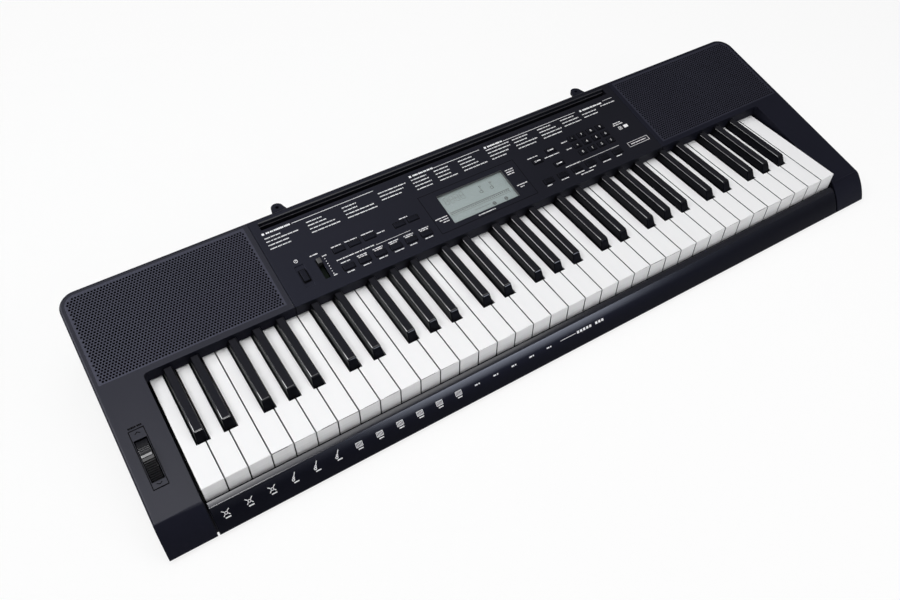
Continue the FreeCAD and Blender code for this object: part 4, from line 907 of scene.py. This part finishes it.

# Buttons
# Small rubber-damped caps of smooth black plastic standing just proud of the panel.
# The number pad and the mode buttons have their marks on the caps, and a dark frame printed round each cap
# stands for the shadow in its gap: painted shade.

button_plastic = moulded_plastic("button_plastic", (0.0035, 0.0035, 0.0044), (0.005, 0.005, 0.006), 0.4, 0.1,
                                 COOL_SHINE)
dress(button_plastic, "rear_row_buttons", "rhythm_buttons", "lesson_buttons", "mode_buttons",
      "number_buttons", "power_button")
# Painted highlight: the volume knob is a lighter grey than the caps, standing for the light on its top.
knob_plastic = moulded_plastic("knob_plastic", (0.02, 0.02, 0.021), (0.03, 0.03, 0.031), 0.35, 0.4)
dress(knob_plastic, "volume_knob")
BUTTON_RISE = 1.2
NUMBER_U, NUMBER_STEP_U = 157.5, 15.0
NUMBER_V, NUMBER_STEP_V = 39.0, 12.3
NUMERAL_HEIGHT = 4.6
CAP_ROWS = ("0123", "+456", "-789")
MODE_PLACES = ((96.0, 52.0), (121.0, 59.5), (119.0, 37.0))
caps_place = PANEL @ Matrix.Translation((0, 0, BUTTON_RISE / 1000))


def numerals(name, rows):
    """Plain numerals laid out in rows, as one sheet of letters turned to mesh."""
    bpy.ops.object.select_all(action="DESELECT")
    letters = []
    for level, row in enumerate(rows):
        for step, mark in enumerate(row):
            bpy.ops.object.text_add()
            letter = bpy.context.active_object
            letter.data.body = mark
            letter.data.size = NUMERAL_HEIGHT / 1000
            letter.data.align_x = "CENTER"
            letter.data.align_y = "CENTER"
            u = NUMBER_U + step * NUMBER_STEP_U
            v = NUMBER_V + level * NUMBER_STEP_V
            letter.location = (u / 1000, v / 1000, 0)
            letters.append(letter)
    for letter in letters:
        letter.select_set(True)
    bpy.ops.object.convert(target="MESH")
    bpy.ops.object.join()
    sheet = bpy.context.active_object
    sheet.name = name
    bpy.ops.object.transform_apply(location=True, rotation=True, scale=True)
    bpy.ops.object.mode_set(mode="EDIT")
    return sheet


finish_print(numerals("number_marks", CAP_ROWS), caps_place, body="number_buttons")
mode_sheet = start_piece("mode_marks")
for u, v in MODE_PLACES:
    ring(u - 3.4, v, 1.1, 0.4)
    bar(u + 1.2, v, 5.6, 1.3)
finish_print(mode_sheet, caps_place, body="mode_buttons")

CAP_SIZE = (13.0, 6.0)
NUMBER_SIZE = (9.5, 6.5)
POWER_PLACE, POWER_SIZE = (-232.0, 31.5), (6.5, 15.0)
SHADOW_GAP = 0.9
GAP_PLAY = 0.06
RHYTHM_U, RHYTHM_STEP = -183.5, 20.0
LESSON_U, LESSON_STEP = 91.0, 21.6
UPPER_U, UPPER_STEP = -183.0, 19.5
TEMPO_U, TEMPO_STEP = -105.0, 18.0
FRONT_ROW_V, REAR_ROW_V = 20.0, 45.5
framed = [(u, v, CAP_SIZE) for u, v in MODE_PLACES] + [(*POWER_PLACE, POWER_SIZE)]
framed += [(RHYTHM_U + step * RHYTHM_STEP, FRONT_ROW_V, CAP_SIZE) for step in range(6)]
framed += [(LESSON_U + step * LESSON_STEP, FRONT_ROW_V, CAP_SIZE) for step in range(6)]
framed += [(UPPER_U + step * UPPER_STEP, REAR_ROW_V, CAP_SIZE) for step in range(3)]
framed += [(TEMPO_U + step * TEMPO_STEP, REAR_ROW_V, CAP_SIZE) for step in range(2)]
framed += [(NUMBER_U + step * NUMBER_STEP_U, NUMBER_V + level * NUMBER_STEP_V, NUMBER_SIZE)
           for step in range(4) for level in range(3)]
# Painted shade: dark frames printed on the panel round each cap, as the shadow in the gaps.
gap_shadow_sheet = start_piece("button_gaps")
for u, v, (length, width) in framed:
    for side in (-1, 1):
        bar(u, v + side * ((width + SHADOW_GAP) / 2 + GAP_PLAY), length + 2 * SHADOW_GAP, SHADOW_GAP)
        bar(u + side * ((length + SHADOW_GAP) / 2 + GAP_PLAY), v, SHADOW_GAP, width + 2 * GAP_PLAY)
finish_print(gap_shadow_sheet, PANEL, finish=dust_cloth)

# Panel print
# Lists, names of controls and dividing lines, screen printed on the panel in white ink.
# The words are bars of the lengths that such lists have.

LIST_ROWS = (95.0, 90.0, 84.8, 79.6)
HEAD_V = 101.5
HEAD_LETTER = 2.4
LABEL_LETTER = 1.4
RULE = 0.55
panel_sheet = start_piece("panel_print")
lists = {-250.0: (20, 40, 26, 25), -199.0: (20, 23, 32, 35), -153.5: (18, 17.6, 38, 39),
         -106.0: (37, 32, 27), -60.7: (21, 22, 23, 22), -29.0: (20, 20, 18, 26), 5.5: (20, 21, 24, 33),
         46.5: (34, 33, 27, 21), 86.0: (23.5, 19, 32, 27), 125.0: (21, 26, 31, 28), 161.5: (21, 26, 26)}
for u, lengths in lists.items():
    for v, length in zip(LIST_ROWS, lengths):
        words(u, v, length, LETTER)
for u, v, length in ((-250.5, HEAD_V, 34), (-60.7, 100.5, 33), (46.5, 99.5, 26), (194.5, 97.5, 36)):
    bar(u + 1.5, v, 2.8, 2.8)
    words(u + 5, v, length - 5, HEAD_LETTER)
for u0, u1, v in ((-214, -109, HEAD_V), (-26.6, 39.5, 100), (75, 187.5, 99), (234, 249.5, 99.5)):
    bar((u0 + u1) / 2, v, u1 - u0, RULE)
words(194.5, 91, 22, LETTER)
words(226, 93, 24, LETTER)
words(194.5, 86, 23, LETTER)
labels = [(-216, 51.5, 10), (-190, 51.2, 13), (-173, 51.2, 16), (-152, 51.2, 16), (-134.5, 45.5, 10),
          (-102, 51.5, 10), (-192, 33, 47), (86, 60, 15), (107, 52, 22), (140.5, 63, 8.5), (140.5, 51, 8.5),
          (123, 28, 23), (134, 9.8, 19), (-204, 45.5, 5), (-203.5, 17.5, 5), (222, 60, 12), (220, 57, 15)]
for u, v, length in labels:
    words(u, v, length, LABEL_LETTER)
bar(-120.5, 32.2, 45, 0.4)
bar(177, 27.6, 60, 0.4)
for step in range(6):
    u = RHYTHM_U + step * RHYTHM_STEP
    words(u - 6, 27.8, 12 + step % 2, LABEL_LETTER)
    if step > 0:
        words(u - 5, 25.6, 9 + step % 3, LABEL_LETTER)
    words(u - 5, 13.8, 9 + step % 4, LABEL_LETTER)
    words(LESSON_U + step * LESSON_STEP - 6, 13.8, 8 + (3 * step) % 7, LABEL_LETTER)
ring(-232.5, 52.7, 2.3, 0.6, 16)
bar(-232.5, 53.4, 0.6, 2.2)
for step in range(7):
    bar(-202.5, 41.5 - 3.6 * step, 1.1, 0.9)
for level in (48.4, 52.8):
    bar(227, level, 5.0, 0.6)
for side in (-1, 1):
    bar(227 + 2.2 * side, 50.6, 0.6, 4.4)
bar(227, 50.6, 1.8, 1.8)
bar(236, 50.6, 6.4, 4.6)
for side in (-1, 1):
    bar(235, 22 + 3.4 * side, 32, 0.45)
    bar(235 + 16 * side, 22, 0.45, 6.8)
words(223, 22, 25, LABEL_LETTER)
finish_print(panel_sheet, PANEL)
surround_sheet = start_piece("surround_print")
surround_labels = [(-65, 31, 16), (-61, 27.6, 12), (-58, 24.2, 8), (-15, 14.2, 24), (50, 57, 11),
                   (50, 53.7, 11), (50, 50.4, 11), (51, 31, 14), (54, 27.6, 6)]
for u, v, length in surround_labels:
    words(u, v, length, LABEL_LETTER)
finish_print(surround_sheet, PANEL @ Matrix.Translation((0, 0, SURROUND_RISE / 1000)))

# Pitch wheel
# A ribbed black wheel that springs back, standing out of a slot in a smooth thin plate.
# A smooth ridge marks its middle, and the plate has a dark outline, two arrows and a name.

PLATE_U, PLATE_V = -452.4, -85.0
PLATE_SIZE = (15.6, 66.0)
PLATE_TOP = 0.2
PLATE_ROUNDING = 0.1
WHEEL_SLOT = (13.0, 47.0)
WHEEL_SLOT_V = -87.0
wheel_plate = raised_strip("wheel_plate", PLATE_U, PLATE_V, *PLATE_SIZE, PLATE_TOP, PLATE_ROUNDING)
window_in(wheel_plate, PLATE_U, WHEEL_SLOT_V, *WHEEL_SLOT)
paint(wheel_plate, case_plastic)
RIDGE_V = -85.6
RIDGE_LIFT = 8.0
RIDGE_SIZE, RIDGE_ROUNDING = (10.6, 3.4, 0.7), 0.5
GRIP_SIZE, GRIP_ROUNDING = (10.6, 1.0, 0.35), 0.2
GRIP_TURN = 4.3
GROOVE_RADIUS, CREST_RADIUS = 0.0296, 0.0299
wheel_gloss = key_ebony("wheel_gloss")
ridge = raised_strip("wheel_ridge", PLATE_U, RIDGE_V, *RIDGE_SIZE, RIDGE_ROUNDING, RIDGE_LIFT, "pitch_wheel")
paint(ridge, wheel_gloss)
for step in range(2, 7):
    grip_rib = raised_strip(f"wheel_rib_{step}", PLATE_U, WHEEL_SLOT_V, *GRIP_SIZE, GRIP_ROUNDING,
                            RIDGE_LIFT, "pitch_wheel")
    bpy.ops.object.mode_set(mode="EDIT")
    bpy.ops.mesh.select_all(action="SELECT")
    bpy.ops.transform.rotate(value=math.radians(GRIP_TURN * step), orient_axis="X", center_override=axle)
    bpy.ops.object.mode_set(mode="OBJECT")
    paint(grip_rib, wheel_gloss)
wheel_grip, grip_shader, grip_place = new_finish("wheel_grip")
grip_y = grip_place.axis(1) - axle[1]
grip_z = grip_place.axis(2) - axle[2]
# Painted light and shade: by distance from the axle, the grooves are near black and the crests lighter, with
# a little coat on the crests.
lit_crest_shaded_groove = (grip_y * grip_y + grip_z * grip_z).ramp(GROOVE_RADIUS ** 2, CREST_RADIUS ** 2)
feed(grip_shader, "Base Color", lit_crest_shaded_groove.tint((0.0006, 0.0006, 0.0007), (0.013, 0.013, 0.016)))
feed(grip_shader, "Coat Weight", 0.25 * lit_crest_shaded_groove)
grip_shader.inputs["Roughness"].default_value = 0.35
grip_shader.inputs["Specular IOR Level"].default_value = 0.08
dress(wheel_grip, "pitch_wheel")
wheel_sheet = start_piece("wheel_name")
words(PLATE_U - 7, -49.4, 14, 2.0)
for side in (-1, 1):
    bar(PLATE_U, PLATE_V + side * (PLATE_SIZE[1] / 2 - 0.5), PLATE_SIZE[0], 1.0)
    bar(PLATE_U + side * (PLATE_SIZE[0] / 2 - 0.4), PLATE_V, 0.8, PLATE_SIZE[1])
    for wing in (-1, 1):
        bar(PLATE_U + 1.3 * wing, PLATE_V + side * 28.5, 3.4, 0.8, -0.6 * wing * side)
plate_top = PANEL @ Matrix.Translation((0, 0, PLATE_TOP / 1000))
finish_print(wheel_sheet, plate_top, finish=dust_cloth)

# Lugs at the rear
# Two flat eyelets of the case plastic behind the rear wall.
# They are moulded separately and pressed on.

dress(case_plastic, "rear_lugs")

# Floor, light and camera
# A plain pale floor under soft studio light, seen from above the left front corner.
# The background is white to the camera and dim to all else, and the floor keeps the shadow.

FLOOR_SIZE = 12
bpy.ops.object.select_all(action="DESELECT")
bpy.ops.mesh.primitive_plane_add(size=FLOOR_SIZE)
floor = bpy.context.active_object
floor.name = "floor"
pale, pale_shader, pale_place = new_finish("pale_floor")
floor.data.materials.append(pale)
pale_shader.inputs["Base Color"].default_value = (0.9, 0.9, 0.9, 1)
pale_shader.inputs["Roughness"].default_value = 0.9
pale_shader.inputs["Specular IOR Level"].default_value = 0.0
pale_tree = pale.node_tree
seen = pale_place.node("ShaderNodeLightPath", output="Is Camera Ray")
seen = seen + pale_place.node("ShaderNodeLightPath", output="Is Transmission Ray")
mirrored = pale_place.node("ShaderNodeLightPath", output="Is Glossy Ray")
glow = pale_place.node("ShaderNodeEmission", {}, {"Color": (1, 1, 1, 1), "Strength": 1.0})
body_shade = Wire(pale_tree, pale_shader.outputs[0])
mixed = pale_place.node("ShaderNodeMixShader", {}, {0: 0.8 * seen + 0.2 * mirrored, 1: body_shade, 2: glow})
pale_tree.links.new(mixed.socket, pale_tree.nodes["Material Output"].inputs["Surface"])

world = bpy.data.worlds.new("studio")
bpy.context.scene.world = world
world.use_nodes = True
world_wire = Wire(world.node_tree)
world_seen = world_wire.node("ShaderNodeLightPath", output="Is Camera Ray")
world_seen = world_seen + world_wire.node("ShaderNodeLightPath", output="Is Transmission Ray")
world_mirrored = world_wire.node("ShaderNodeLightPath", output="Is Glossy Ray")
world_back = world.node_tree.nodes["Background"]
world_back.inputs["Color"].default_value = (1, 1, 1, 1)
feed(world_back, "Strength", 0.12 + 0.88 * world_seen + 0.08 * world_mirrored)

COOL_LIGHT = (0.8, 0.86, 1.0)


def soft_lamp(name, place, aim, size, power):
    """A square soft box at place, turned to aim."""
    lamp = bpy.data.lights.new(name, "AREA")
    lamp.shape = "SQUARE"
    lamp.size = size
    lamp.energy = power
    box = bpy.data.objects.new(name, lamp)
    bpy.context.scene.collection.objects.link(box)
    box.location = place
    box.rotation_euler = (Vector(aim) - Vector(place)).to_track_quat("-Z", "Y").to_euler()
    return box


soft_lamp("top_soft_box", (-0.2, 0.5, 2.2), (-0.1, 0, 0), 2.4, 36)
soft_lamp("left_soft_box", (-1.5, 0.3, 1.9), (0, 0, 0), 0.5, 13)
soft_lamp("front_soft_box", (-0.3, -1.4, 2.2), (0, 0, 0), 0.35, 8)
soft_lamp("front_fill", (0.8, -1.2, 0.9), (0, 0, 0), 0.8, 6).visible_glossy = False
soft_lamp("shine_card", (-2.0, 1.0, 1.2), (0, 0, 0), 1.8, 80).visible_diffuse = False
rail_card = soft_lamp("rail_card", (0.75, -2.0, 0.9), (0, -0.15, 0), 1.0, 30)
rail_card.visible_diffuse = False
rail_card.data.color = COOL_LIGHT
soft_lamp("cheek_card", (-0.5, 0.0, 1.6), (-0.45, -0.08, 0), 0.5, 4).visible_diffuse = False

IMAGE_WIDTH = 900
FOCAL_PIXELS = 836.56
CAMERA_PLACE = Vector((-0.4289, -0.5662, 0.7457))
CAMERA_RIGHT = Vector((0.84843, -0.52929, 0.00383))
CAMERA_FORWARD = Vector((0.35092, 0.55706, -0.75269))
lens = bpy.data.cameras.new("camera")
lens.sensor_width = 36
lens.lens = FOCAL_PIXELS / IMAGE_WIDTH * lens.sensor_width
lens.clip_start = 0.01
camera = bpy.data.objects.new("camera", lens)
bpy.context.scene.collection.objects.link(camera)
axes = Matrix((CAMERA_RIGHT, CAMERA_RIGHT.cross(CAMERA_FORWARD), -CAMERA_FORWARD)).transposed()
camera.matrix_world = Matrix.Translation(CAMERA_PLACE) @ axes.to_4x4()
bpy.context.scene.camera = camera
bpy.context.scene.view_settings.view_transform = "Standard"
